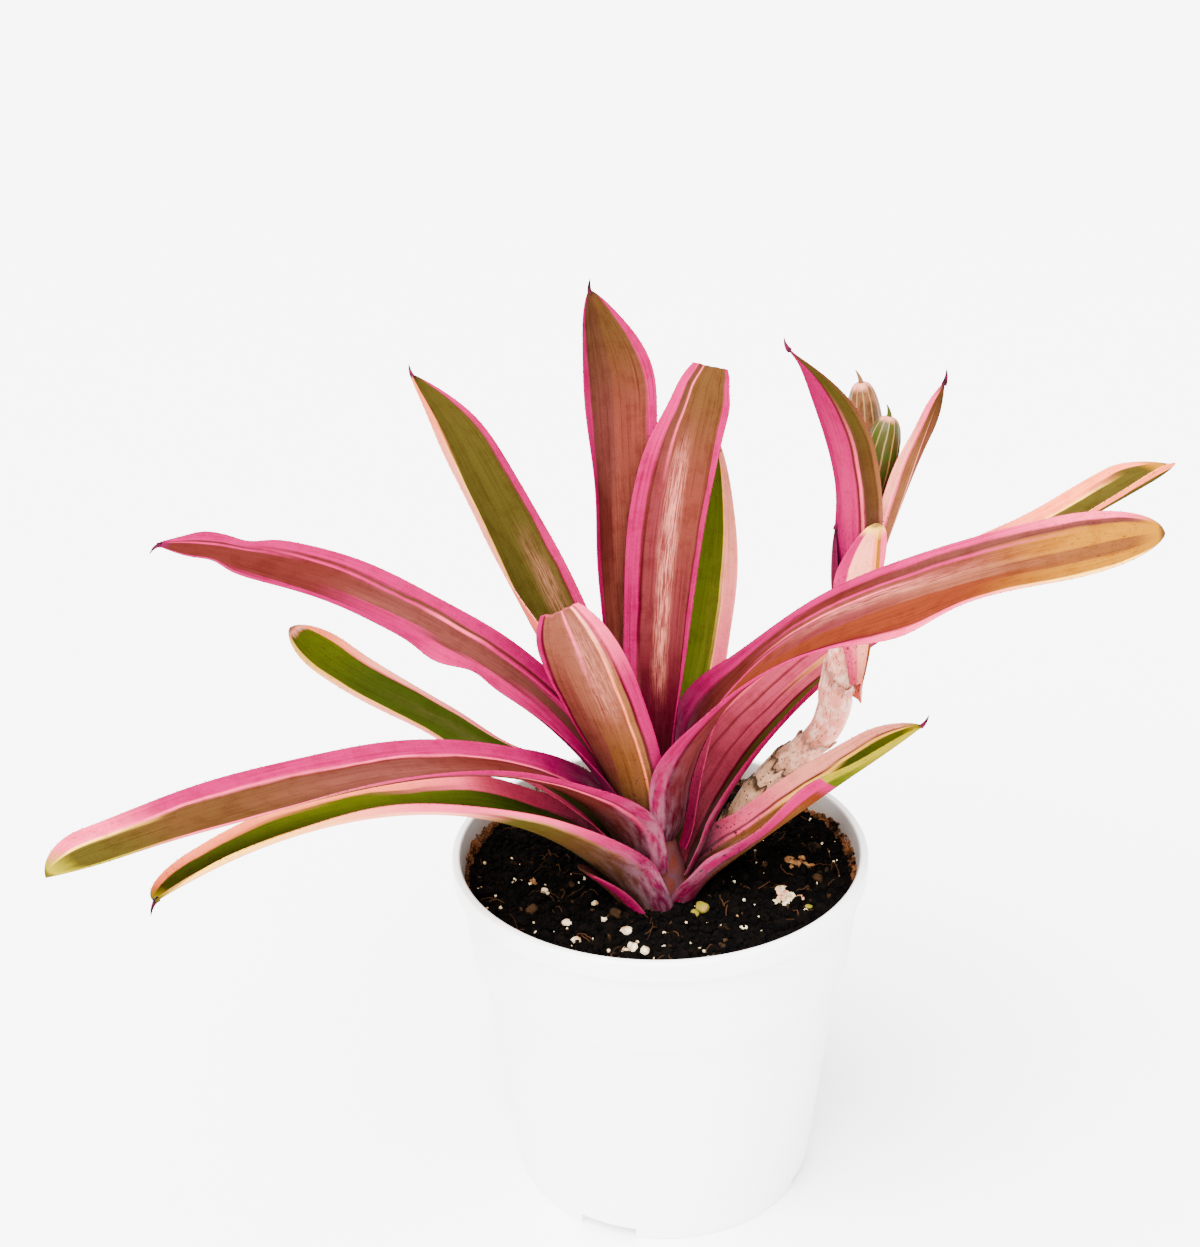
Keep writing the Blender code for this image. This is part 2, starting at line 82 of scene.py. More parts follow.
class Tone(Enum):
    """The colours, as linear shares of the light that they give back."""
    PINK = (0.21, 0.0003, 0.047)
    ROSE = (0.28, 0.002, 0.062)
    PUCE = (0.25, 0.026, 0.05)
    PALE = (0.6, 0.045, 0.115)
    BLUSH = (0.74, 0.22, 0.15)
    MAGENTA = (0.085, 0.002, 0.026)
    CRIMSON = (0.042, 0.0012, 0.0055)
    RUSSET = (0.052, 0.0083, 0.0065)
    BROWN = (0.044, 0.0165, 0.0072)
    UMBER = (0.068, 0.0166, 0.013)
    SIENNA = (0.087, 0.018, 0.012)
    RUST = (0.085, 0.0145, 0.0055)
    AMBER = (0.108, 0.018, 0.005)
    TAWNY = (0.1, 0.033, 0.0085)
    OLIVE = (0.0375, 0.028, 0.0045)
    KHAKI = (0.049, 0.0205, 0.006)
    GREEN = (0.027, 0.038, 0.0035)
    LIME = (0.048, 0.06, 0.003)
    YELLOW = (0.2, 0.16, 0.002)
    CREAM = (0.85, 0.44, 0.055)
    PEACH = (0.72, 0.14, 0.055)
    OCHRE = (0.21, 0.079, 0.002)
    TAN = (0.13, 0.047, 0.017)
    BEIGE = (0.25, 0.13, 0.044)
    PAPER = (0.6, 0.31, 0.19)
    PEARL = (0.95, 0.6, 0.46)
    MAUVE = (0.07, 0.026, 0.033)
    SCURF = (0.3, 0.16, 0.2)
    DRIED = (0.02, 0.009, 0.005)
    SPINE = (0.0093, 0.0039, 0.0032)
    SPECK = (0.028, 0.0029, 0.005)
    WHITE = (0.9, 0.9, 0.89)
    WHITE_SHADE = (0.85, 0.86, 0.87)
    SOIL = (0.0007, 0.0006, 0.0006)
    SOIL_BROWN = (0.0026, 0.0017, 0.0012)
    PERLITE = (0.68, 0.56, 0.36)
    BARK = (0.027, 0.013, 0.0055)
    MOSS = (0.128, 0.118, 0.006)
    TERRACOTTA = (0.12, 0.034, 0.019)
    RASPBERRY = (0.085, 0.0125, 0.0145)
    # Grey of the pot's inner wall: painted shade, with some soil stain
    WALL_STAIN_AND_SHADE = (0.25, 0.205, 0.17)
    # Multiplied in for dark streaks and grain, and as painted shade at the feet of the leaves and of the
    # runner's sheaths
    SHADED = (0.52, 0.4, 0.34)
    LIGHTENED = (1.5, 1.55, 1.5)
    FLOOR = (0.93, 0.93, 0.93)
    FLOOR_LIGHT = (0.95, 0.95, 0.95)

    @property
    def rgba(self) -> tuple:
        """The tone with full alpha."""
        return (*self.value, 1.0)


class Wire:
    """A socket of a node tree that takes part in arithmetic."""

    def __init__(self, graph: "Graph", socket: NodeSocket) -> None:
        """Keep the socket and the graph that it belongs to."""
        self.graph, self.socket = graph, socket

    def math(self, operation: str, *values: object) -> "Wire":
        """A Math node of the operation on the values."""
        return self.graph.node("ShaderNodeMath", {"operation": operation}, dict(enumerate(values)))

    def __add__(self, other: object) -> "Wire":
        """Sum."""
        return self.math("ADD", self, other)

    def __sub__(self, other: object) -> "Wire":
        """Difference."""
        return self.math("SUBTRACT", self, other)

    def __rsub__(self, other: object) -> "Wire":
        """Reflected difference, so that 1 - mask works."""
        return self.math("SUBTRACT", other, self)

    def __mul__(self, other: object) -> "Wire":
        """Product."""
        return self.math("MULTIPLY", self, other)

    __radd__, __rmul__ = __add__, __mul__

    def between(self, low: float, high: float) -> "Wire":
        """A smooth step from 0 at low to 1 at high; low may be the larger."""
        return self.graph.node("ShaderNodeMapRange", {"interpolation_type": "SMOOTHSTEP"},
                               {0: self, 1: low, 2: high, 3: 0.0, 4: 1.0})


class Graph:
    """A node tree and the one method that makes its nodes."""

    def __init__(self, tree: NodeTree) -> None:
        """Work on a tree."""
        self.tree = tree

    def node(self, kind: str, settings: dict | None = None, inputs: dict | None = None,
             output: int | str = 0) -> Wire:
        """Add a node.

        Args:
            kind: The node's type name.
            settings: Properties set before the sockets.
            inputs: Values or wires by socket name or number.
            output: The output that the returned wire stands for.

        Returns:
            The wire of that output.
        """
        made = self.tree.nodes.new(kind)
        for key, value in (settings or {}).items():
            setattr(made, key, value)
        for key, value in (inputs or {}).items():
            if isinstance(value, Wire):
                self.tree.links.new(value.socket, made.inputs[key])
            else:
                made.inputs[key].default_value = value
        return Wire(self, made.outputs[output]) if made.outputs else None

    def ramp(self, factor: Wire, stops: list) -> Wire:
        """A colour ramp on a factor, with stops of (place, colour)."""
        wire = self.node("ShaderNodeValToRGB", None, {0: factor})
        elements = wire.socket.node.color_ramp.elements
        elements.remove(elements[-1])
        for index, (place, colour) in enumerate(stops):
            stop = elements.new(place) if index else elements[0]
            stop.position, stop.color = place, colour
        return wire

    def blend(self, factor: Wire, under: object, over: object, kind: str = "MIX") -> Wire:
        """Two colours mixed by a factor."""
        return self.node("ShaderNodeMix", {"data_type": "RGBA", "blend_type": kind},
                         {0: factor, 6: under, 7: over}, 2)

    def noise(self, place: Wire, scale: float, detail: float = 3, rough: float = 0.55) -> Wire:
        """Value of a noise at a place."""
        return self.node("ShaderNodeTexNoise", None,
                         {"Vector": place, "Scale": scale, "Detail": detail, "Roughness": rough})

    def grain(self, skin: Wire, across: float, along: float, detail: float = 3, rough: float = 0.55) -> Wire:
        """A noise on a skin with its own scale each way."""
        return self.noise(self.scaled(skin, (across, along, 1)), 1.0, detail, rough)

    def cells(self, place: Wire, scale: float, space: str = "3D") -> Wire:
        """Distance to the nearest cell centre."""
        return self.node("ShaderNodeTexVoronoi", {"voronoi_dimensions": space},
                         {"Vector": place, "Scale": scale}, "Distance")

    def dots(self, skin: Wire, across: float, along: float, low: float, high: float) -> Wire:
        """Dots on a skin: 1 nearer to their centres than high, and 0 beyond low."""
        return self.cells(self.scaled(skin, (across, along, 1)), 1.0, "2D").between(low, high)

    def vector(self, x: object, y: object, z: object = 0.0) -> Wire:
        """A vector of three values."""
        return self.node("ShaderNodeCombineXYZ", None, {0: x, 1: y, 2: z})

    def split(self, place: Wire) -> tuple:
        """The X, Y and Z of a vector."""
        outputs = self.node("ShaderNodeSeparateXYZ", None, {0: place}).socket.node.outputs
        return tuple(Wire(self, output) for output in outputs)

    def scaled(self, place: Wire, factors: tuple) -> Wire:
        """A vector multiplied part by part."""
        return self.node("ShaderNodeVectorMath", {"operation": "MULTIPLY"}, {0: place, 1: factors})


class Surface:
    """A Principled material under construction: its graph, its shader's sockets and its colour so far."""

    def __init__(self, name: str, roughness: float, specular: float) -> None:
        """Make the material."""
        self.material = bpy.data.materials.new(name)
        self.material.use_nodes = True
        self.graph = Graph(self.material.node_tree)
        self.inputs = self.material.node_tree.nodes["Principled BSDF"].inputs
        self.inputs["Roughness"].default_value = roughness
        self.inputs["Specular IOR Level"].default_value = specular
        self.colour = None

    def place(self) -> Wire:
        """Object coordinates in metres."""
        return self.graph.node("ShaderNodeTexCoord", output="Object")

    def blade(self) -> tuple:
        """The places across and along a blade, and its side attribute."""
        across, along, _ = self.graph.split(self.graph.node("ShaderNodeUVMap", {"uv_map": "blade"}))
        return across, along, self.graph.node("ShaderNodeAttribute", {"attribute_name": "side"}, output="Fac")

    def start(self, mask: Wire, under: Tone, over: Tone) -> None:
        """Begin with two tones mixed by a mask."""
        self.colour = self.graph.blend(mask, under.rgba, over.rgba)

    def lay(self, mask: Wire, tone: Tone) -> None:
        """Lay a tone over the colour so far, by a mask."""
        self.colour = self.graph.blend(mask, self.colour, tone.rgba)

    def shade(self, mask: Wire, tone: Tone = Tone.SHADED) -> None:
        """Multiply the colour so far by a tone, by a mask."""
        self.colour = self.graph.blend(mask, self.colour, tone.rgba, "MULTIPLY")

    def feed(self, **wires: Wire) -> Material:
        """Link the colour and other wires, named with underscores, to the shader and give the material."""
        for key, wire in {"Base_Color": self.colour, **wires}.items():
            self.material.node_tree.links.new(wire.socket, self.inputs[key.replace("_", " ")])
        return self.material

    def finish(self, rough: Wire, height: Wire, depth: float, strength: float = 1.0,
               **wires: Wire) -> Material:
        """Link the colour, the roughness, a bump of a depth in millimetres and other wires."""
        normal = self.graph.node("ShaderNodeBump", None,
                                 {"Height": height, "Distance": depth * MM, "Strength": strength})
        return self.feed(Roughness=rough, Normal=normal, **wires)


def smooth(share: Array) -> Array:
    """Smooth step of values clipped to 0 and 1."""
    share = np.clip(share, 0, 1)
    return share * share * (3 - 2 * share)


def unit(vectors: Array) -> Array:
    """Vectors of length one."""
    return vectors / np.linalg.norm(vectors, axis=-1, keepdims=True)


def turns(count: int) -> Array:
    """Evenly spaced angles round a circle."""
    return np.arange(count) * math.tau / count


def round_points(radius: Array, angles: Array, height: float) -> Array:
    """Points at angles round the upright axis."""
    return np.stack([radius * np.cos(angles), radius * np.sin(angles), np.full(len(angles), height)], -1)


def make_piece(name: str, points: Array, faces: list, material: Material,
               uv: Array | None = None, side: Array | None = None,
               sharp: float = 50, outward: bool = True) -> Object:
    """A smooth mesh object.

    Args:
        name: The piece's name.
        points: Vertex places in metres.
        faces: Vertex numbers of each face.
        material: Its material.
        uv: One UV place for each vertex, kept as the map "blade".
        side: One value for each vertex, kept as the attribute "side".
        sharp: The angle in degrees past which an edge stays sharp.
        outward: Whether its faces still have to be turned outwards.

    Returns:
        The object, linked to the scene.
    """
    mesh = bpy.data.meshes.new(name)
    mesh.from_pydata([tuple(point) for point in points], [], faces)
    mesh.update()
    if uv is not None:
        corners = np.empty(len(mesh.loops), dtype=np.int64)
        mesh.loops.foreach_get("vertex_index", corners)
        mesh.uv_layers.new(name="blade").data.foreach_set(
            "uv", np.asarray(uv, dtype=np.float32)[corners].ravel())
    if side is not None:
        mesh.attributes.new("side", "FLOAT", "POINT").data.foreach_set("value", side.astype(np.float32))
    mesh.shade_smooth()
    mesh.set_sharp_from_angle(angle=math.radians(sharp))
    mesh.materials.append(material)
    if outward:
        shape = bmesh.new()
        shape.from_mesh(mesh)
        bmesh.ops.recalc_face_normals(shape, faces=shape.faces)
        shape.to_mesh(mesh)
        shape.free()
    return placed(name, mesh)


def placed(name: str, data: ID) -> Object:
    """An object of the data in the scene."""
    thing = bpy.data.objects.new(name, data)
    bpy.context.scene.collection.objects.link(thing)
    return thing


def enrol(piece: Object, slot: str, *nodes: str) -> Object:
    """Tie a piece to the plant's body, hide the imported nodes that it stands for and log its material slot.
    """
    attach(piece, BODY)
    if nodes:
        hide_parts(*nodes)
    LOG.info("%s: %d faces, slot %s", piece.name, len(piece.data.polygons), slot)
    return piece


def evaluated(carrier: Object) -> Mesh:
    """A plain mesh of an object with its modifiers applied; the modifiers are removed."""
    bpy.context.view_layer.update()
    mesh = bpy.data.meshes.new_from_object(carrier.evaluated_get(bpy.context.evaluated_depsgraph_get()))
    carrier.modifiers.clear()
    return mesh


def grid_faces(rows: int, columns: int, closed: bool = False, start: int = 0, flip: bool = False) -> list:
    """Quads of a grid of rows and columns of points, closed round the columns if asked."""
    faces = []
    for row in range(rows - 1):
        for column in range(columns if closed else columns - 1):
            a = start + row * columns + column
            b = start + row * columns + (column + 1) % columns
            face = (a, b, b + columns, a + columns)
            faces.append(face[::-1] if flip else face)
    return faces


def tube_faces(rows: int, sides: int) -> list:
    """Faces of a tube with closed ends."""
    last = (rows - 1) * sides
    return grid_faces(rows, sides, closed=True) + [tuple(range(sides))[::-1],
                                                   tuple(range(last, last + sides))]


def tube(centres: Array, radii: Array, sides: int, level: tuple = (0, 1, 0)) -> tuple:
    """A closed tube along centres.

    Args:
        centres: Points of its centre line.
        radii: The radius at each, or a row of radii round each.
        sides: Points round it.
        level: A direction that the line never takes.

    Returns:
        Its points and its faces.
    """
    along = unit(np.gradient(centres, axis=0))
    across = unit(np.cross(along, np.asarray(level, float)))
    lift = np.cross(across, along)
    angles = turns(sides)
    radii = np.broadcast_to(np.reshape(radii, (len(centres), -1)), (len(centres), sides))[..., None]
    ring = across[:, None] * np.cos(angles)[None, :, None] + lift[:, None] * np.sin(angles)[None, :, None]
    return (centres[:, None] + ring * radii).reshape(-1, 3), tube_faces(len(centres), sides)


def merged(parts: list) -> tuple:
    """Several (points, faces) as one."""
    faces, start = [], 0
    for points, some_faces in parts:
        faces += [tuple(start + corner for corner in face) for face in some_faces]
        start += len(points)
    return np.concatenate([points for points, _ in parts]), faces


@dataclass(frozen=True)
class Axis:
    """A stem that leaves grow from, in millimetres, and how steeply its sheaths rise in degrees."""
    foot: tuple
    top: tuple
    foot_radius: float
    top_radius: float
    sheath_slope: float

    @property
    def span(self) -> Array:
        """Vector from foot to top."""
        return np.subtract(self.top, self.foot)

    def point(self, climb: float) -> tuple:
        """Centre and radius of the stem, in millimetres, at a height along it."""
        share = climb / np.linalg.norm(self.span)
        return (np.asarray(self.foot) + self.span * share,
                self.foot_radius + (self.top_radius - self.foot_radius) * share)

    def distance(self, points: Array) -> Array:
        """Distance of points from the stem's centre line."""
        reach, along = points - np.asarray(self.foot), unit(self.span)
        return np.linalg.norm(reach - (reach @ along)[:, None] * along, axis=1)


STEM = Axis(foot=(1.5, -8, 74), top=(-4, -4, 122), foot_radius=10, top_radius=1.6, sheath_slope=64)
PUP_STEM = Axis(foot=(46.5, 4, 134), top=(54.5, 12, 180), foot_radius=4.8, top_radius=1.6, sheath_slope=82)


@dataclass(frozen=True)
class LeafShape:
    """One leaf's shape, in millimetres and degrees.

    azimuth is where it points (0 is +X, 90 is away from the viewer), climb is how far up the stem its foot
    is, slope holds the control angles of its rise, sweep turns it sideways and twist rolls it towards its
    tip, cup is half the angle of the blade's section, and channel that of the base, gone at unfolds.
    """
    azimuth: float
    climb: float
    length: float
    width: float
    slope: tuple
    sweep: float = 0
    twist: float = 0
    cup: float = 28
    taper: float = 0.65
    blunt: float = 0.75
    clasp: float = 1.5
    sheath: float = 1.05
    channel: float = 0
    unfolds: float = 0.3

    def rise(self, axis: Axis, t: Array) -> Array:
        """How steeply the midrib climbs at t, in radians."""
        share = smooth(t * self.length / SHEATH_REACH)
        order = len(self.slope) - 1
        own = sum(math.comb(order, index) * t ** index * (1 - t) ** (order - index) * value
                  for index, value in enumerate(self.slope))
        return np.radians(axis.sheath_slope * (1 - share) + own * share)

    def heading(self, axis: Axis, t: Array) -> tuple:
        """Unit vectors along the midrib, across the blade and out of its upper face."""
        rise, turn = self.rise(axis, t), np.radians(self.azimuth + self.sweep * t * t)
        along = np.stack([np.cos(rise) * np.cos(turn), np.cos(rise) * np.sin(turn), np.sin(rise)], -1)
        level = np.stack([-np.sin(turn), np.cos(turn), 0 * turn], -1)
        upper = np.cross(along, level)
        roll = np.radians(self.twist * t)[:, None]
        return along, level * np.cos(roll) + upper * np.sin(roll), upper * np.cos(roll) - level * np.sin(roll)

    def midrib(self, axis: Axis, t: Array) -> Array:
        """Points of the midrib at t, in millimetres."""
        steps = np.linspace(0, 1, 401)
        along = self.heading(axis, (steps[1:] + steps[:-1]) / 2)[0]
        path = np.vstack([np.zeros(3), np.cumsum(along, 0) * self.length / (len(steps) - 1)])
        centre, radius = axis.point(self.climb)
        outward = math.radians(self.azimuth)
        foot = centre + (radius + GAP + LEAF_THICKNESS / 2) * np.array(
            [math.cos(outward), math.sin(outward), 0])
        return foot + np.stack([np.interp(t, steps, path[:, part]) for part in range(3)], -1)

    def section(self, axis: Axis, t: Array, ribs: Array) -> tuple:
        """Half the width, in millimetres, and half the angle of the section's arc at t."""
        opening = self.sheath + (1 - self.sheath) * np.clip(t / SHEATH_SPREAD, 0, 1)
        closing = np.clip((t - self.taper) / (1 - self.taper), 0, 1)
        blade = np.maximum(self.width / 2 * opening * (1 - closing ** 2) ** self.blunt, TIP_HALF_WIDTH)
        cone = axis.distance(ribs) / np.maximum(np.sin(self.rise(axis, t)), FLATTEST_CONE)
        half_width = (blade ** -4 + (self.clasp * cone) ** -4) ** -0.25
        cup = np.radians(self.cup) * (1 - 0.35 * t ** 3)
        raised = smooth(t * self.length / CHANNEL_REACH) * (1 - smooth(t / self.unfolds))
        channel = np.radians(self.channel) * raised
        return half_width, ((half_width / cone) ** 4 + cup ** 4 + channel ** 4) ** 0.25


@dataclass(frozen=True)
class LeafFinish:
    """Stripes of a leaf's two faces, and how its skin looks.

    A face's text has one station for each share of the length, with a slash between them. A station is its
    share, then its tones from the right-hand margin as seen from the foot to the left-hand one, and between
    two tones the place across the blade, from 0 to 1, where they meet. shine is the gleam's place across
    the blade, its reach each way, where it begins and ends along the blade, and its strength. The gleam is
    a painted highlight laid into the colour, as well as a glossier coat.
    """
    upper: str
    lower: str
    tip: Tone = Tone.OCHRE
    tip_reach: float = 3.0
    streaks: float = 0.5
    wrinkles: float = 0.6
    specks: float = 0.5
    freckles: float = 0.3
    scurf: float = 0.12
    shine: tuple = (0.5, 0.2, 0.3, 0.7, 0.05)
    roughness: float = 0.36
    gloss: float = 0.0
    blur: float = 0.012

    def stops(self, tones: list, ends: list) -> list:
        """Stops of a ramp whose stripes meet over the blur."""
        stops, begun, last = [], 0.0, len(tones) - 1
        for index, (tone, ended) in enumerate(zip(tones, ends + [1.0])):
            room, colour = min(self.blur, (ended - begun) * 0.45), Tone[tone].rgba
            stops.append((begun + (room if index else 0), colour))
            stops.append((ended - room if index < last else 1.0, colour))
            begun = ended
        return stops

    def face(self, graph: Graph, across: Wire, along: Wire, text: str) -> Wire:
        """Colour of one face from its stations."""
        colour = before = None
        for station in text.split("/"):
            at, *words = station.split()
            ramp = graph.ramp(across, self.stops(words[::2], [float(word) for word in words[1::2]]))
            colour = graph.blend(along.between(before, float(at)), colour, ramp) if colour else ramp
            before = float(at)
        return colour

    def material(self, name: str, width: float, length: float) -> Material:
        """The leaf's material for a blade of a width and length in millimetres."""
        skin = Surface(name, self.roughness, self.gloss)
        graph = skin.graph
        across, along, side = skin.blade()
        reach = along * length
        flat = graph.vector(across * width + side * FACE_SHIFT, reach)
        veins, bands = graph.grain(flat, 1.8, 0.03, 4, 0.65), graph.grain(flat, 0.8, 0.016)
        drift, fretted = graph.grain(flat, 0.02, 0.06, 2), graph.grain(flat, 2.4, 0.12, 4, 0.7)
        mottle, fine = graph.noise(flat, 0.16, 4, 0.65), graph.noise(flat, 2.4, 2)
        wander = across + (drift - 0.5) * 0.07 + (veins - 0.5) * 0.035
        upper, lower = (self.face(graph, wander, along, text) for text in (self.upper, self.lower))
        skin.colour = graph.blend(side, upper, lower)
        dark = veins.between(0.5, 0.68) * self.streaks
        skin.shade(dark * 0.75)
        light = bands.between(0.46, 0.68) * (0.3 + mottle.between(0.4, 0.7) * 0.7) * self.streaks
        skin.shade(light * 0.7, Tone.LIGHTENED)
        skin.shade(fine.between(0.45, 0.75) * 0.35)
        middle, half, begins, ends, strength = self.shine
        gleam = wander.between(middle - half, middle) * wander.between(middle + half, middle)
        before, after = GLEAM_BLUR
        gleam = gleam * along.between(begins - before, begins + after) * along.between(
            ends + after, ends - before)
        gleam = gleam * (0.12 + fretted.between(0.44, 0.56) * 0.88) * strength
        # Painted highlight: a pale blush laid into the colour along the gleam, which also drives the coat.
        skin.lay(gleam * 0.55, Tone.BLUSH)
        near_foot = reach.between(*SCURF_ZONE)
        near_tip = reach.between(length - STAIN_ZONE[0], length - STAIN_ZONE[1])
        edges = across.between(0.3, 0.02) + across.between(0.7, 0.98)
        # Painted shade: each leaf darkens towards its foot, deep in the rosette under the others.
        skin.shade(along.between(0.24, 0.02) * 0.75)
        skin.shade(mottle.between(0.45, 0.64) * self.streaks * 0.45)
        skin.lay(edges * reach.between(*STAIN_ZONE) * self.scurf * 0.5, Tone.MAGENTA)
        speck = graph.dots(flat, 0.9, 0.6, 0.2, 0.12) + graph.dots(flat, 0.34, 0.25, 0.13, 0.09)
        speck = speck * graph.noise(flat, 0.3, 2).between(0.4, 0.6)
        skin.lay(speck * (near_foot * 1.3 + near_tip * self.freckles + 0.1) * self.specks, Tone.SPECK)
        dust = graph.grain(flat, 0.5, 0.14, 5, 0.6).between(0.36, 0.68)
        dust = dust * near_foot * (0.3 + edges * 0.7) * self.scurf
        skin.lay(dust * 0.55, Tone.SCURF)
        end = (reach + (mottle - 0.5) * 6).between(length - self.tip_reach * 2, length - self.tip_reach * 0.3)
        skin.lay(end, self.tip)
        burnt = (reach + (fine - 0.5) * 2).between(length - BURNT_ZONE[0], length - BURNT_ZONE[1])
        skin.lay(burnt * 0.8, Tone.DRIED)
        skin.inputs["Coat Roughness"].default_value = 0.25
        rough = self.roughness + (mottle - 0.5) * 0.25 + dust * 0.3 + end * 0.2 + dark * 0.08
        creases = graph.grain(flat, 0.22, 1.1, 3, 0.6) * self.wrinkles
        height = veins * 0.5 + creases * 0.6 + fine * 0.1 + dust * 0.4 + fretted * gleam * 0.5
        return skin.finish(rough, height, 0.16, 0.8, Coat_Weight=gleam * 0.5)


class Tip(Enum):
    """How a leaf ends: in a horny spine, rounded, or broken off."""
    SPINE = "spine"
    ROUND = "round"
    BROKEN = "broken"


@dataclass(frozen=True)
class Shift:
    """A change round a share of a blade's length: of its left margin (1), its right one (-1) or all (0).

    Among ripples, amount is how far the margin lifts in millimetres. Among waists, it is the share of
    the half width that the margin draws in by, or that the whole blade slides by.
    """
    side: int
    at: float
    spread: float
    amount: float

    def weight(self, t: Array) -> Array:
        """How strongly it acts at t, from 0 to 1."""
        return np.exp(-((t - self.at) / self.spread) ** 2)


@dataclass(frozen=True)
class Blade:
    """One leaf as a detailed closed mesh."""
    name: str
    slot: str
    shape: LeafShape
    finish: LeafFinish
    axis: Axis = STEM
    tip: Tip = Tip.SPINE
    wave: float = 0.28
    ripples: tuple = ()
    waists: tuple = ()
    hook: float = 1.3
    reach: float = 1.0
    torn: float = 0.0
    curl: float = 0.0
    seed: int = 1
    rows: int = 120
    columns: int = 28
    armed: bool = True

    def waves(self, t: Array, place: Array) -> Array:
        """How far the blade stands off its smooth form, in millimetres, along its upper normal."""
        rng = np.random.default_rng(self.seed)
        lift = np.zeros((len(t), len(place)))
        for margin in (-1, 1):
            share = np.clip(place * margin, 0, 1) ** 3
            swing = sum(rng.uniform(0.4, 1) * np.sin(t * self.shape.length / rng.uniform(*WAVE_LENGTHS)
                                                     + rng.uniform(0, math.tau)) for _ in range(MARGIN_WAVES))
            for ripple in self.ripples:
                if ripple.side == margin:
                    swing = swing + ripple.amount / self.wave * ripple.weight(t)
            lift += self.wave * smooth(t / 0.3)[:, None] * swing[:, None] * share[None, :]
        crease = -CREASE_DEPTH * np.exp(-(place / CREASE_WIDTH) ** 2)
        lift += crease[None, :] * smooth(t / 0.15)[:, None] * smooth((1 - t) / 0.2)[:, None]
        return lift - self.curl * smooth((t / self.reach - 0.94) / 0.06)[:, None]

    def drawn_in(self, t: Array, place: Array) -> Array:
        """Places across the blade for every row, drawn in at the waists."""
        places = np.broadcast_to(place, (len(t), len(place))).copy()
        for waist in self.waists:
            share = waist.amount * waist.weight(t)[:, None]
            if waist.side:
                places *= np.where(places * waist.side > 0, 1 - share, 1)
            else:
                places += share
        return places

    def sheet(self, t: Array, place: Array) -> tuple:
        """Points midway through the blade's thickness and the normals of its upper face."""
        ribs = self.shape.midrib(self.axis, t)
        _, across, upper = (part[:, None, :] for part in self.shape.heading(self.axis, t))
        half_width, angle = self.shape.section(self.axis, t, ribs)
        bend = (angle[:, None] * self.drawn_in(t, place))[..., None]
        radius = (half_width / angle)[:, None, None]
        normal = upper * np.cos(bend) - across * np.sin(bend)
        points = ribs[:, None, :] + across * radius * np.sin(bend) + upper * radius * (1 - np.cos(bend))
        return points + normal * self.waves(t, place)[..., None], normal

    def build(self) -> Object:
        """The blade as a closed mesh with its UV map and side attribute."""
        t = self.reach * (1 - (1 - np.linspace(0, 1, self.rows + 1)) ** ROW_CROWDING)
        place = np.sin(np.linspace(-1, 1, self.columns + 1) * math.pi / 2)
        middle, normal = self.sheet(t, place)
        if self.torn:
            rng = np.random.default_rng(self.seed)
            jags = sum(rng.uniform(0.3, 1) * np.sin(place * waves + rng.uniform(0, 6))
                       for waves in (2, 5, 13))
            torn = smooth((t / self.reach - 0.95) / 0.05)[:, None] * jags * self.torn / 2
            middle += self.shape.heading(self.axis, t)[0][:, None, :] * torn[..., None]
        rounding = np.clip((np.abs(place) - (1 - MARGIN_ROUNDING)) / MARGIN_ROUNDING, 0, 1)
        edge = np.sqrt(1 - rounding ** 2 * 0.75)
        thickness = (LEAF_THICKNESS - MARGIN_THINNING * place ** 2) * edge
        offset = normal * thickness[None, :, None] * (1 - 0.35 * t ** 4)[:, None, None] / 2
        across, count = self.columns + 1, (self.rows + 1) * (self.columns + 1)
        points = np.concatenate([(middle + offset).reshape(-1, 3), (middle - offset).reshape(-1, 3)]) * MM
        faces = grid_faces(self.rows + 1, across) + grid_faces(self.rows + 1, across, start=count, flip=True)
        grid = np.arange(count).reshape(self.rows + 1, across)
        loop = [*grid[0], *grid[1:, -1], *grid[-1, -2::-1], *grid[-2:0:-1, 0]]
        faces += [(there, here, count + here, count + there)
                  for here, there in zip(loop, loop[1:] + loop[:1])]
        uv = np.stack(np.meshgrid((place + 1) / 2, t), -1).reshape(-1, 2)
        material = self.finish.material(self.name, self.shape.width, self.shape.length)
        piece = make_piece(self.name + "_skin", points, faces, material, np.vstack([uv, uv]),
                           np.repeat([0.0, 1.0], count), outward=False)
        return enrol(piece, self.slot, self.name)

    def margins(self, spacing: float) -> tuple:
        """Places and outward leans of the margin spines, a spacing in millimetres apart."""
        t = np.linspace(*TOOTHED, int(self.shape.length / spacing))
        rows, _ = self.sheet(t, np.array([-1.0, -0.9, 0.9, 1.0]))
        along = self.shape.heading(self.axis, t)[0]
        leans = [unit(unit(rows[:, edge] - rows[:, inner]) + along * 0.7) for edge, inner in ((0, 1), (3, 2))]
        return np.concatenate([rows[:, 0], rows[:, 3]]), np.concatenate(leans)

    def spine(self) -> tuple:
        """Points and faces of the hooked spine at the tip, in metres."""
        foot = self.shape.midrib(self.axis, np.array([0.992]))[0]
        along, _, upper = (part[0] for part in self.shape.heading(self.axis, np.array([1.0])))
        share = np.linspace(0, 1, 9)[:, None]
        centres = foot + along * SPINE_LENGTH * share + upper * self.hook * share ** 2
        return tube(centres * MM, (SPINE_RADIUS * (1 - share) ** 0.8 + SPINE_POINT) * MM, 8, (0.3, 1, 0.2))


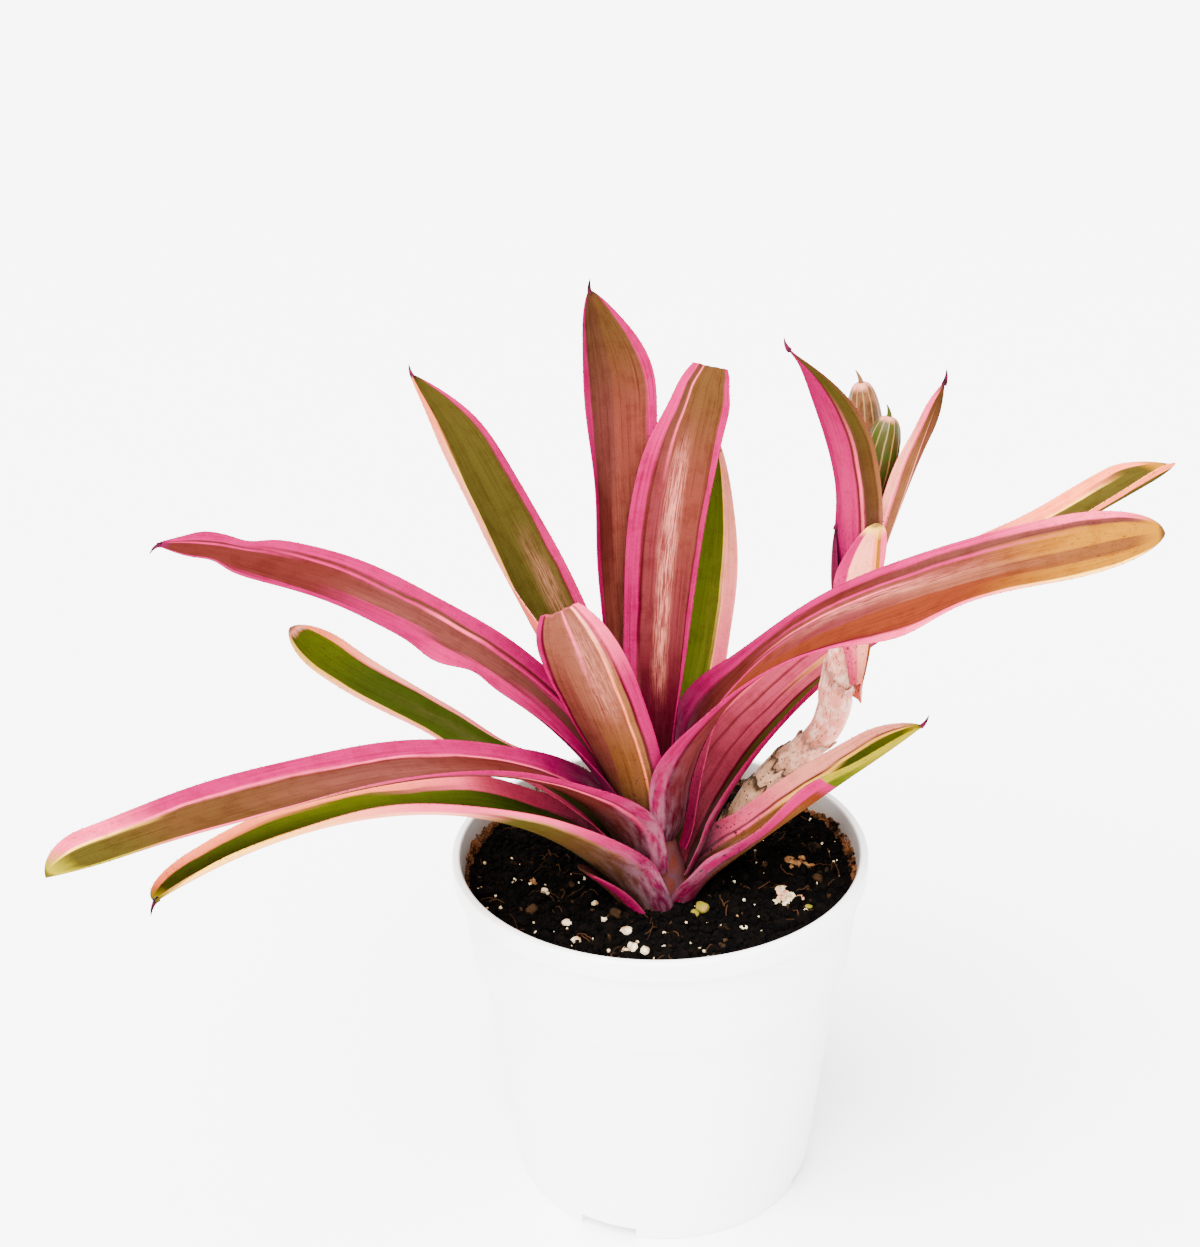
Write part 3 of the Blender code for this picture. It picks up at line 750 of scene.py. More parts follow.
BLADES = (
    Blade("leaf_low_left", "leaf_green",
          LeafShape(202, 8.6, 140, 30, (65, 35, 11, 1, -5), sweep=29, twist=31, cup=34,
          taper=0.87, sheath=1.35, channel=85, unfolds=0.6), LeafFinish("""
        0 MAGENTA .16 KHAKI .8 ROSE / .3 PALE .14 GREEN .45 CREAM .49 OLIVE / .6 PEACH .09 LIME .46 CREAM
        .5 BLUSH .8 PALE / .92 PEACH .13 GREEN .42 CREAM .46 BLUSH .8 CREAM""", """
        0 MAGENTA .16 BROWN .84 MAGENTA / .2 ROSE .2 OLIVE .6 KHAKI .88 TAN .91 ROSE / .36 PEACH .14 GREEN .5
        OLIVE .9 BEIGE .93 PALE / .5 PEACH .09 LIME .46 CREAM .5 BLUSH .84 PALE / .92 PEACH .13 GREEN .42
        CREAM .46 BLUSH .8 CREAM""",
          scurf=0.8, tip=Tone.YELLOW, specks=0.9, freckles=0.8),
          seed=11, wave=0.3, hook=-2.2, waists=(Shift(-1, 0.38, 0.1, -0.25), Shift(-1, 0.72, 0.14, -0.12),
          Shift(1, 0.85, 0.15, 0.3))),
    Blade("leaf_low_right", "leaf_green",
          LeafShape(-9, 11, 75, 21.2, (42, 42, 42, 38, 37), sweep=8, twist=-13, cup=57,
          taper=0.78, blunt=0.8, clasp=1.35, sheath=1.4, channel=85, unfolds=0.6), LeafFinish("""
        0 MAGENTA .2 KHAKI .8 MAGENTA / .3 ROSE .1 TAWNY .76 PALE .8 RUSSET .83 PALE / .6 YELLOW .1
        LIME .5 TAWNY .74 CREAM .8 RUSSET .83 BLUSH / .72 YELLOW .16 LIME .5 GREEN .78 CREAM .82 RUSSET .85
        BLUSH / .9 YELLOW .16 LIME .8 CREAM .84 BROWN .87 BLUSH""", """
        0 PINK .3 MAGENTA .75 MAGENTA / .2 ROSE .16 RUSSET .2 TAWNY .8 SIENNA .84 PINK / .52 ROSE .14
        AMBER .17 TAWNY .84 ROSE / .6 ROSE .14 AMBER .7 ROSE / .66 ROSE .3 AMBER .6 ROSE / .672
        YELLOW .1 LIME / .92 YELLOW .3 LIME""",
          scurf=0.6, tip=Tone.YELLOW, specks=0.9),
          seed=12, wave=0.2, waists=(Shift(1, 0.5, 0.3, -0.15), Shift(-1, 0.62, 0.15, -0.25))),
    Blade("leaf_green_left", "leaf_green",
          LeafShape(163, 13.5, 115, 21.6, (95, 26, -6, 19, 46), sweep=-1, twist=4,
          cup=14, taper=0.88, blunt=0.55, clasp=1.25, sheath=1.15, channel=45), LeafFinish("""
        0 MAGENTA .16 OLIVE .85 ROSE / .4 PALE .1 BLUSH .13 GREEN .9 PALE / .75 BLUSH .1 PALE .13 GREEN
        .88 CREAM .91 BLUSH / .95 PEACH .14 LIME .86 CREAM""", """
        0 ROSE .16 OLIVE .85 ROSE / .7 PEACH .16 LIME .88 PEACH""",
          tip=Tone.BLUSH, tip_reach=1.8, streaks=0.6, freckles=1.0),
          tip=Tip.ROUND, seed=13, waists=(Shift(-1, 0.44, 0.18, 0.5), Shift(0, 0.44, 0.14, 0.3),
          Shift(1, 0.78, 0.16, 0.3), Shift(-1, 0.3, 0.08, 0.3), Shift(1, 0.48, 0.1, -0.5))),
    Blade("leaf_rose_right", "leaf_rose",
          LeafShape(34, 16, 195, 24.5, (73, 12, 3, 16, 17), sweep=-8, twist=-13,
          cup=63, taper=0.93, clasp=1.3, sheath=1.25, channel=70, unfolds=0.42), LeafFinish("""
        0 PINK .25 KHAKI .42 CRIMSON .46 PUCE .9 ROSE / .25 PINK .24 CREAM .27 OLIVE .42 CRIMSON
        .47 PUCE .62 CRIMSON .64 PUCE .78 RUSSET .8 PUCE .93 PALE / .55 ROSE .2 KHAKI
        .6 CREAM .66 ROSE / .84 BLUSH .2 OLIVE .78 CREAM .81 PEACH / .95 CREAM .1 OLIVE .88 PEACH""", """
        0 ROSE .1 KHAKI .88 ROSE / .5 PINK .1 KHAKI .86 ROSE / .9 PEACH .1 OLIVE .8 PEACH""",
          scurf=0.5, tip_reach=3.5, streaks=0.8, freckles=0.8),
          tip=Tip.ROUND, seed=14, waists=(Shift(1, 0.78, 0.1, 0.1), Shift(-1, 0.93, 0.06, -0.25))),
    Blade("leaf_long_left", "leaf_brown",
          LeafShape(211, 19, 164, 27.3, (81, 25, -5, 2, 1), sweep=6, twist=16, cup=33,
          taper=0.92, clasp=1.35, sheath=1.3, channel=80, unfolds=0.45), LeafFinish("""
        0 MAGENTA .3 RUSSET .85 PINK / .35 PINK .22 PALE .24 RUSSET .95 ROSE / .5 PINK .2
        PALE .22 RUSSET .26 UMBER .95 ROSE / .8 PINK .17 PALE .2 KHAKI .94 PALE /
        .93 PALE .2 CREAM .24 OLIVE .9 YELLOW""", """
        0 ROSE .2 BROWN .6 RUSSET .8 CRIMSON .84 PINK / .28 ROSE .2 RUSSET .86 PALE .89 CRIMSON .91
        PINK / .42 ROSE .2 UMBER .9 PINK / .5 ROSE .2 UMBER .95 ROSE / .8 PALE .3 KHAKI
        .95 YELLOW""",
          scurf=0.8, tip=Tone.YELLOW, tip_reach=4.0, streaks=0.9, freckles=0.6),
          tip=Tip.ROUND, seed=15, wave=0.3, waists=(Shift(1, 0.86, 0.1, 0.35), Shift(1, 0.72, 0.03, 0.12),
          Shift(1, 0.8, 0.12, 0.3), Shift(0, 0.78, 0.26, -0.17), Shift(1, 0.95, 0.06, 0.2))),
    Blade("leaf_green_back", "leaf_green",
          LeafShape(54, 22, 108, 16, (84, 62, 63, 83, 104), sweep=-1, twist=-1,
          taper=0.5, clasp=1.3, sheath=1.2, channel=40), LeafFinish("""
        0 ROSE .3 OLIVE / .35 PALE .3 CREAM .32 LIME .94 ROSE / .85 BLUSH .36 CREAM .38 LIME .92 PEACH""", """
        0 ROSE .2 OLIVE / .8 PALE .22 LIME .92 PEACH""",
          streaks=0.7, freckles=0.8),
          seed=16),
    Blade("leaf_upper_left", "leaf_rose",
          LeafShape(168, 25, 150, 22.8, (90, 31, 22, 25, 4), sweep=6, twist=-12,
          cup=26, taper=0.66, clasp=1.25, sheath=1.15, channel=50, unfolds=0.25), LeafFinish("""
        0 MAGENTA .3 CRIMSON .7 MAGENTA / .22 PINK .2 CRIMSON .26 ROSE .34 UMBER .5 ROSE / .4 PINK .19
        RUSSET .24 ROSE .3 UMBER .62 ROSE / .48 PINK .18 BROWN .23 PALE .28 UMBER .69 ROSE /
        .57 PINK .17 BROWN .22 ROSE .26 UMBER .56 PINK / .74 PINK .15 RUSSET .2 ROSE .24
        RUSSET .86 PINK / .9 PINK .2 RUSSET .25 ROSE .3 RUSSET .95 PINK""", """
        0 MAGENTA .2 RUSSET .8 MAGENTA / .7 ROSE .2 BROWN .8 PINK""",
          tip=Tone.MAGENTA, tip_reach=2.0, streaks=0.8),
          seed=17, wave=0.35, ripples=(Shift(-1, 0.93, 0.03, 1.4), Shift(1, 0.49, 0.04, -1.5),
          Shift(1, 0.42, 0.03, 1.2)), waists=(Shift(-1, 0.86, 0.03, 0.2), Shift(0, 0.75, 0.2, -0.08),
          Shift(1, 0.66, 0.1, 0.14), Shift(1, 0.28, 0.12, -0.2), Shift(1, 0.9, 0.035, 0.5)), hook=-3.0),
    Blade("leaf_big_right", "leaf_brown",
          LeafShape(-19, 28, 154, 32, (93, 61, 17, 16, 19), sweep=2, twist=11, cup=16,
          taper=0.84, blunt=0.55, clasp=1.25, sheath=1.25, channel=75, unfolds=0.4), LeafFinish("""
        0 PINK .14 CRIMSON .5 ROSE .56 CRIMSON .8 MAGENTA / .3 PINK .08 CRIMSON .12 RUST .62 ROSE .65
        RUSSET .86 PINK / .5 ROSE .05 CRIMSON .09 RUST .4 RASPBERRY .68 PALE .7 SIENNA .76 ROSE .79
        RUSSET .9 PINK / .7 PALE .05 RUST .4 TERRACOTTA .6 SIENNA .77 ROSE .8 UMBER .91 ROSE /
        .92 CREAM .06 OCHRE .3 TAWNY .55 OCHRE .82 UMBER .9 PALE""", """
        0 ROSE .14 CRIMSON .85 MAGENTA / .2 PINK .13 CRIMSON .17 RASPBERRY .45 CRIMSON .85 PINK / .45 ROSE .08
        CRIMSON .12 RUST .85 PINK / .9 PALE .06 OCHRE .85 ROSE""",
          scurf=0.8, tip_reach=3.5, streaks=0.9, wrinkles=1.0, freckles=1.0,
          shine=(0.62, 0.14, 0.45, 0.7, 0.5)),
          tip=Tip.ROUND, seed=18, wave=0.32, ripples=(Shift(-1, 0.63, 0.07, -3.0),),
          waists=(Shift(-1, 0.54, 0.1, -0.35), Shift(-1, 0.82, 0.12, 0.2), Shift(1, 0.2, 0.1, -0.2),
          Shift(0, 0.6, 0.14, -0.08))),
    Blade("leaf_short_front", "leaf_brown",
          LeafShape(-125, 31, 83, 20.9, (85, 66, 60, 62, 59), sweep=11, twist=35,
          cup=22, taper=0.6, blunt=0.45, clasp=1.15, sheath=1.1, channel=40), LeafFinish("""
        0 MAGENTA .2 RUSSET .8 MAGENTA / .7 PINK .14 BROWN .8 ROSE""", """
        0 MAGENTA .1 KHAKI .86 MAGENTA / .3 ROSE .05 CRIMSON .09 SIENNA .4 TAWNY .75 PEACH .77 TAN .83
        RUSSET .87 PINK / .6 ROSE .06 CRIMSON .1 SIENNA .3 TERRACOTTA .52 SIENNA .55 TERRACOTTA .75
        PEACH .77 TAN .84 CRIMSON .87 PINK / .9 PINK .08 CRIMSON .12 TERRACOTTA .5 PALE .54 TERRACOTTA
        .75 BLUSH .8 PUCE .86 PALE""",
          tip=Tone.PALE, tip_reach=1.6, streaks=0.8, wrinkles=0.9, shine=(0.6, 0.2, 0.5, 0.9, 0.45)),
          tip=Tip.BROKEN, seed=19, reach=0.965, torn=0.7, curl=-0.8),
    Blade("leaf_olive", "leaf_olive",
          LeafShape(143, 34, 125, 27.3, (70, 58, 55, 58, 43), sweep=-3, twist=17, cup=24,
          taper=0.66, clasp=1.2, sheath=1.1, channel=40), LeafFinish("""
        0 ROSE .15 RUSSET .85 ROSE / .45 ROSE .1 RUSSET .12 OLIVE .84 CREAM .87 BLUSH / .75 PINK .09 BROWN
        .11 OLIVE .82 CREAM .85 BLUSH / .95 ROSE .1 BROWN .13 OLIVE .78 PEACH""", """
        0 ROSE .15 OLIVE .85 ROSE / .8 ROSE .12 OLIVE .86 PEACH""",
          tip=Tone.DRIED, tip_reach=1.2, streaks=0.8, wrinkles=0.8, shine=(0.3, 0.2, 0.38, 0.56, 0.4)),
          seed=20, waists=(Shift(1, 0.36, 0.2, -0.85), Shift(0, 0.34, 0.2, 0.15), Shift(0, 0.9, 0.12, -0.2))),
    Blade("leaf_top", "leaf_rose",
          LeafShape(107, 37, 128, 23.5, (71, 86, 88, 80, 69), sweep=17, twist=8, cup=29,
          taper=0.78, clasp=1.25, channel=40), LeafFinish("""
        0 PINK .2 CRIMSON .85 MAGENTA / .35 PINK .1 CRIMSON .12 SIENNA .87 ROSE .9 PINK / .55 PINK
        .1 RUSSET .12 SIENNA .6 RUSSET .88 PINK / .72 PINK .11 SIENNA .5 UMBER .88
        PINK / .93 PINK .12 KHAKI .5 BROWN .88 PINK""", """
        0 ROSE .2 RUSSET .85 ROSE / .8 PINK .18 BROWN .88 PINK""",
          tip=Tone.BROWN, tip_reach=1.5, streaks=1.0),
          seed=21, waists=(Shift(0, 0.84, 0.12, -0.14), Shift(0, 0.4, 0.18, 0.1), Shift(1, 0.8, 0.16, 0.12))),
    Blade("leaf_heart", "leaf_rose",
          LeafShape(51, 40.3, 111, 24.3, (87, 87, 84, 75, 55), sweep=1, twist=9, cup=29,
          taper=0.55, blunt=0.5, clasp=1.35, channel=40), LeafFinish("""
        0 PINK .1 CRIMSON .8 MAGENTA / .2 PINK .1 CRIMSON .8 RASPBERRY .84 PINK / .4 PINK .1 CRIMSON
        .13 RASPBERRY .8 CRIMSON .84 PINK / .65 PINK .1 RUSSET .14 SIENNA .5 RASPBERRY .8 RUSSET .84
        PINK / .93 PINK .1 KHAKI .68 PALE .71 BROWN .82 ROSE""", """
        0 PINK .1 RUSSET .85 MAGENTA / .8 PINK .1 BROWN .85 ROSE""",
          tip=Tone.BROWN, tip_reach=1.0, streaks=1.0, wrinkles=1.2, roughness=0.3,
          shine=(0.54, 0.16, 0.24, 0.76, 0.8)),
          tip=Tip.BROKEN, seed=22, reach=0.972, torn=0.2, curl=1.6, waists=(Shift(-1, 0.45, 0.2, 0.15),
          Shift(1, 0.88, 0.08, 0.15), Shift(-1, 0.9, 0.06, -0.2))),
    Blade("bract_dry", "dry_sheath",
          LeafShape(80, 8.6, 27, 8, (66, 70, 72, 76, 78), cup=34, taper=0.55,
          blunt=0.7), LeafFinish("""
        0 BEIGE / 1.0 PAPER""", """
        0 BEIGE .5 PALE / 1.0 PAPER""",
          tip=Tone.DRIED, tip_reach=1.0, streaks=0.3, specks=1.4, roughness=0.7),
          tip=Tip.BROKEN, seed=23, rows=48, columns=16, armed=False),
    Blade("sheath_old", "dry_sheath",
          LeafShape(214, 5.8, 27, 14, (66, 60, 52, 46, 44), cup=30, taper=0.5,
          blunt=0.5), LeafFinish("""
        0 BROWN / 1.0 UMBER""", """
        0 BROWN .75 ROSE / 1.0 UMBER .7 ROSE""",
          tip=Tone.DRIED, tip_reach=1.0, streaks=0.9, roughness=0.6),
          tip=Tip.BROKEN, seed=24, rows=48, columns=16, armed=False),
    Blade("pup_bract_lower", "leaf_pink",
          LeafShape(32, -1.5, 11, 8, (80, 84, 86, 88, 88), cup=30, taper=0.5,
          blunt=0.6), LeafFinish("""
        0 BLUSH / 1.0 PALE""", """
        0 BLUSH / 1.0 PALE .8 ROSE""",
          tip=Tone.MAGENTA, tip_reach=1.0, streaks=0.4),
          axis=PUP_STEM, tip=Tip.ROUND, seed=25, rows=40, columns=16, armed=False),
    Blade("pup_bract_upper", "leaf_pink",
          LeafShape(-48, 5.5, 43.5, 12, (85, 89, 90, 87, 78), twist=-20, cup=30,
          taper=0.63, blunt=0.5, clasp=1.3, sheath=0.5), LeafFinish("""
        0 ROSE / 1.0 PALE .8 CREAM""", """
        0 PALE .3 BLUSH .62 AMBER .78 ROSE / .75 ROSE .16 BLUSH .5 PEACH .62 OCHRE .74 PALE""",
          tip=Tone.CREAM, tip_reach=2.0, streaks=0.4),
          axis=PUP_STEM, tip=Tip.ROUND, seed=26, rows=72, columns=20, armed=False, wave=0.15,
          waists=(Shift(-1, 0.62, 0.25, -0.5),)),
    Blade("pup_bract_left", "leaf_pink",
          LeafShape(178, 20, 25, 8, (81, 84, 88, 92, 94), cup=30, taper=0.4,
          blunt=1), LeafFinish("""
        0 MAGENTA / 1.0 MAUVE""", """
        0 RUSSET / 1.0 MAUVE .6 MAGENTA""",
          tip=Tone.SPINE, tip_reach=2.0, streaks=0.8),
          axis=PUP_STEM, seed=27, rows=40, columns=16, armed=False, wave=0.1),
    Blade("pup_leaf_right", "leaf_pink",
          LeafShape(-28, 29, 57, 12.3, (78, 73, 75, 75, 66), sweep=-14, twist=-18,
          taper=0.61, blunt=1, clasp=1.3), LeafFinish("""
        0 ROSE .2 BROWN .8 ROSE / 1.0 PALE .2 KHAKI .8 ROSE""", """
        0 PALE .2 TERRACOTTA .5 BLUSH .55 TAN .92 BROWN / .6 BLUSH .2 PALE .25 TAN .52 BLUSH .55 TERRACOTTA
        .92 KHAKI / .95 PALE .3 KHAKI""",
          tip=Tone.BROWN, tip_reach=1.5, streaks=0.7),
          axis=PUP_STEM, seed=28, wave=0.15, waists=(Shift(1, 0.32, 0.3, -0.6), Shift(-1, 0.8, 0.15, 0.3))),
    Blade("pup_leaf_left", "leaf_pink",
          LeafShape(-135, 25.5, 75, 19, (85, 95, 81, 58, 41), sweep=-12, twist=-7,
          cup=29, taper=0.57, blunt=1, clasp=1.3, sheath=1), LeafFinish("""
        0 PINK .2 KHAKI .8 ROSE / 1.0 PINK .2 OLIVE .8 ROSE""", """
        0 CRIMSON .05 MAGENTA .5 PINK .7 RUSSET .74 ROSE .78 UMBER .94 ROSE / .4 CRIMSON .03 PINK .3
        ROSE .68 RUSSET .72 PALE .76 BROWN .82 KHAKI .95 TAN / .85 CRIMSON .04 PINK .68 RUSSET
        .72 OLIVE .95 KHAKI""",
          tip=Tone.MAGENTA, tip_reach=1.5, streaks=0.6),
          axis=PUP_STEM, seed=29, wave=0.18, waists=(Shift(-1, 0.8, 0.14, -0.4), Shift(-1, 0.38, 0.22, 0.6))),
)


@dataclass(frozen=True)
class PlainFinish:
    """A mottled skin on Object coordinates: two tones, its grain and its depth in millimetres."""
    ground: Tone
    second: Tone
    grain: float = 1.0
    depth: float = 0.1
    roughness: float = 0.6

    def material(self, name: str) -> Material:
        """The finish as a material."""
        skin = Surface(name, self.roughness, 0.02)
        place, grain = skin.place(), self.grain * MM
        coarse = skin.graph.noise(place, 0.35 / grain, 4, 0.65)
        fine = skin.graph.noise(place, 1.6 / grain, 3, 0.6)
        skin.start(coarse.between(0.38, 0.66), self.ground, self.second)
        skin.shade(fine.between(0.5, 0.75) * 0.3)
        return skin.finish(self.roughness + (coarse - 0.5) * 0.3, coarse * 0.6 + fine * 0.4, self.depth)


class Scatter:
    """Small things that a node tree with named inputs and a fixed seed stands on points."""

    def model(self, graph: Graph, given: dict) -> tuple:
        """The thing, its turn and its size as wires; each kind of scatter has its own."""
        raise NotImplementedError

    def scatter(self, name: str, places: Array, skin: Material, seed: int, sizes: dict,
                leans: Array | None = None) -> Object:
        """Run the node tree on loose points and keep the result as a plain mesh.

        Args:
            name: The piece's name.
            places: Points in metres.
            skin: The material.
            seed: The seed of the random values.
            sizes: The tree's other numbers by name.
            leans: One direction for each point, as the attribute "lean".

        Returns:
            The baked object.
        """
        tree = bpy.data.node_groups.new(name, "GeometryNodeTree")
        values = {"Points": None, **sizes, "Seed": seed, "Skin": skin}
        kinds = ["Geometry"] + ["Float"] * len(sizes) + ["Int", "Material"]
        keys = {label: tree.interface.new_socket(
                    label, in_out="INPUT", socket_type="NodeSocket" + kind).identifier
                for label, kind in zip(values, kinds)}
        tree.interface.new_socket("Bits", in_out="OUTPUT", socket_type="NodeSocketGeometry")
        graph = Graph(tree)
        outputs = graph.node("NodeGroupInput").socket.node.outputs
        given = {label: Wire(graph, outputs[label]) for label in values}
        thing, turn, size = self.model(graph, given)
        laid = graph.node("GeometryNodeInstanceOnPoints", None,
                          {"Points": given["Points"], "Instance": thing, "Rotation": turn, "Scale": size})
        solid = graph.node("GeometryNodeRealizeInstances", None, {0: laid})
        dressed = graph.node("GeometryNodeSetMaterial", None, {"Geometry": solid, "Material": given["Skin"]})
        graph.node("NodeGroupOutput", None, {0: dressed})
        mesh = bpy.data.meshes.new(name + "_points")
        mesh.from_pydata([tuple(place) for place in places], [], [])
        if leans is not None:
            mesh.attributes.new("lean", "FLOAT_VECTOR", "POINT").data.foreach_set(
                "vector", leans.astype(np.float32).ravel())
        carrier = placed(name + "_carrier", mesh)
        modifier = carrier.modifiers.new(name, "NODES")
        modifier.node_group = tree
        for label in list(values)[1:]:
            modifier[keys[label]] = values[label]
        baked = evaluated(carrier)
        baked.name = name
        bpy.data.objects.remove(carrier, do_unlink=True)
        return placed(name, baked)


@dataclass(frozen=True)
class Spines(Scatter):
    """The small teeth along the leaf margins, and the hooks at the leaf tips."""
    spacing: float = 2.6
    length: float = 0.5
    radius: float = 0.13
    seed: int = 5

    def model(self, graph: Graph, given: dict) -> tuple:
        """A small cone along each point's lean."""
        cone = graph.node("GeometryNodeMeshCone", None,
                          {"Vertices": 5, "Radius Top": 0.0, "Depth": given["Length"],
                           "Radius Bottom": given["Radius"]})
        lean = graph.node("GeometryNodeInputNamedAttribute", {"data_type": "FLOAT_VECTOR"}, {"Name": "lean"})
        turn = graph.node("FunctionNodeAlignRotationToVector", {"axis": "Z"}, {"Vector": lean})
        return cone, turn, graph.node("FunctionNodeRandomValue", {"data_type": "FLOAT"},
                                      {2: 0.45, 3: 1.15, "Seed": given["Seed"]}, 1)

    def build(self, blades: tuple) -> None:
        """Teeth along the margins of the armed blades, and a hook on each spined tip."""
        skin = PlainFinish(Tone.SPINE, Tone.MAGENTA, 0.5, 0.02, 0.4).material("spine_horn")
        places, leans = (np.concatenate(part) for part in
                         zip(*(blade.margins(self.spacing) for blade in blades if blade.armed)))
        sizes = {"Length": self.length * MM, "Radius": self.radius * MM}
        enrol(self.scatter("margin_teeth", places * MM, skin, self.seed, sizes, leans), "leaf_green")
        hooks = merged([blade.spine() for blade in blades if blade.tip is Tip.SPINE])
        enrol(make_piece("tip_hooks", *hooks, skin), "leaf_green")


@dataclass(frozen=True)
class Pot:
    """The thin nursery pot with its rolled lip, step, foot notches and drain holes, in millimetres."""
    height: float = 95
    rim_radius: float = 54
    mouth_radius: float = 51.8
    mouth_foot: tuple = (51.3, 90)
    lip_drop: float = 5.5
    band_top: tuple = (51.6, 83)
    band_foot: tuple = (50, 67)
    body_top: tuple = (47.6, 63)
    foot_radius: float = 40.5
    wall: float = 1.4
    ring_width: float = 2.4
    floor_lift: float = 3
    disc_radius: float = 26
    notch_height: float = 3.2
    notch_angle: float = 22
    notch_first: float = -113.5
    notches: int = 4
    drain_radius: float = 3.5
    segments: int = 192

    @property
    def floor(self) -> float:
        """Height of the floor inside."""
        return self.floor_lift + self.wall

    def inside(self) -> list:
        """Corners of the inner wall, radius and height, from the floor up."""
        foot = self.foot_radius + (self.body_top[0] - self.foot_radius) * self.floor / self.body_top[1]
        corners = ((foot, self.floor), self.body_top, self.band_foot, self.band_top)
        return [(radius - self.wall, height) for radius, height in corners] + [self.mouth_foot]

    def outline(self) -> list:
        """Corners of the profile, each with the radius that rounds it."""
        lip_foot, ring = self.height - self.lip_drop, self.foot_radius - self.ring_width
        return [
            (0, self.floor, 0),
            *((*corner, room) for corner, room in zip(self.inside(), (1.2, 1.4, 1.4, 2, 2))),
            (self.mouth_radius, self.height, 0.7), (self.rim_radius, self.height, 0.8),
            (self.rim_radius, lip_foot, 0.7), (self.band_top[0] + 0.15, lip_foot - 0.6, 0.8),
            (*self.band_top, 3), (*self.band_foot, 0.8), (*self.body_top, 1.6),
            (self.foot_radius, 0, 0.5), (ring, 0, 0.4), (ring - 0.5, self.floor_lift, 0.5),
            (self.disc_radius + 0.5, self.floor_lift, 0.5), (self.disc_radius, 0, 0.4), (0, 0, 0),
        ]

    def profile(self) -> Array:
        """The outline with its corners rounded."""
        outline = np.array(self.outline(), float)
        corners, points = outline[:, :2], [outline[0, :2]]
        for before, here, after, room in zip(corners, corners[1:], corners[2:], outline[1:, 2]):
            back, forth = before - here, after - here
            reach = min(room, np.linalg.norm(back) * 0.45, np.linalg.norm(forth) * 0.45)
            start, end = here + unit(back) * reach, here + unit(forth) * reach
            for share in np.linspace(0, 1, 5):
                points.append((1 - share) ** 2 * start + 2 * share * (1 - share) * here + share ** 2 * end)
        return np.array(points + [corners[-1]])

    def material(self) -> Material:
        """White satin plastic with faint mould waves, an inner wall greyed by soil stain and painted shade,
        and a few crumbs of dust.
        """
        skin = Surface("pot_plastic", 0.38, 0.45)
        graph, place = skin.graph, skin.place()
        cloud, grain = graph.noise(place, 45, 3), graph.noise(place, 900, 3)
        x, y, height = graph.split(place)
        radius = x.math("SQRT", x * x + y * y)
        inner = radius.between(0.0525, 0.0519) * height.between(0.0893, 0.0899)
        inner = inner.math("MAXIMUM", inner, radius.between(0.05155, 0.0514) * height.between(0.0835, 0.085))
        dust = graph.cells(place, 420).between(0.14, 0.06) * graph.noise(place, 90, 2).between(0.56, 0.66)
        skin.start(cloud.between(0.35, 0.7) * 0.5, Tone.WHITE, Tone.WHITE_SHADE)
        # Painted shade and soil stain grey the inner wall, more towards the soil.
        skin.lay(inner * (height.between(0.097, 0.087) * 0.3 + cloud * 0.3 + 0.55), Tone.WALL_STAIN_AND_SHADE)
        skin.lay(dust * height.between(0.082, 0.094) * 0.7, Tone.SOIL_BROWN)
        return skin.finish(0.34 + cloud * 0.1 + grain * 0.06, cloud * 0.8 + grain * 0.2, 0.12, 0.5)

    def build(self) -> Object:
        """The turned pot, cut and placed."""
        points, rows, faces = [], [], []
        for radius, height in self.profile() * MM:
            ring = round_points(radius, turns(self.segments), height)[:None if radius else 1]
            rows.append(len(points) + np.arange(self.segments) % len(ring))
            points += list(ring)
        for lower, upper in zip(rows, rows[1:]):
            for index in range(self.segments):
                following = (index + 1) % self.segments
                face = [lower[index], lower[following], upper[following], upper[index]]
                faces.append([corner for slot, corner in enumerate(face) if corner != face[slot - 1]])
        piece = make_piece("pot_shell", points, faces, self.material(), sharp=60)
        half, inner = math.radians(self.notch_angle / 2), self.foot_radius - self.ring_width - 1.5
        for index in range(self.notches):
            middle = math.radians(self.notch_first + index * 360 / self.notches)
            arc = np.linspace(middle - half, middle + half, 9)
            notch = [round_points(inner, arc, 0), round_points(self.foot_radius + 2, arc[::-1], 0)]
            self.cut(piece, np.vstack(notch), -1, self.notch_height)
            centre = round_points((self.disc_radius + inner) / 2, np.array([middle]), 0)
            drain = round_points(self.drain_radius, turns(32), 0) + centre
            self.cut(piece, drain, self.floor_lift - 1, self.floor_lift + 2 * self.wall)
        piece.data.shade_smooth()
        piece.data.set_sharp_from_angle(angle=math.radians(50))
        return enrol(piece, "pot", "pot")

    @staticmethod
    def cut(piece: Object, ring: Array, low: float, high: float) -> None:
        """Cut an upright prism with a ring of corners out of a piece."""
        points = np.vstack([ring + (0, 0, low), ring + (0, 0, high)]) * MM
        cutter = make_piece("cutter", points, tube_faces(2, len(ring)), piece.data.materials[0])
        modifier = piece.modifiers.new("cut", "BOOLEAN")
        modifier.operation, modifier.solver, modifier.object = "DIFFERENCE", "EXACT", cutter
        piece.data = evaluated(piece)
        bpy.data.objects.remove(cutter, do_unlink=True)


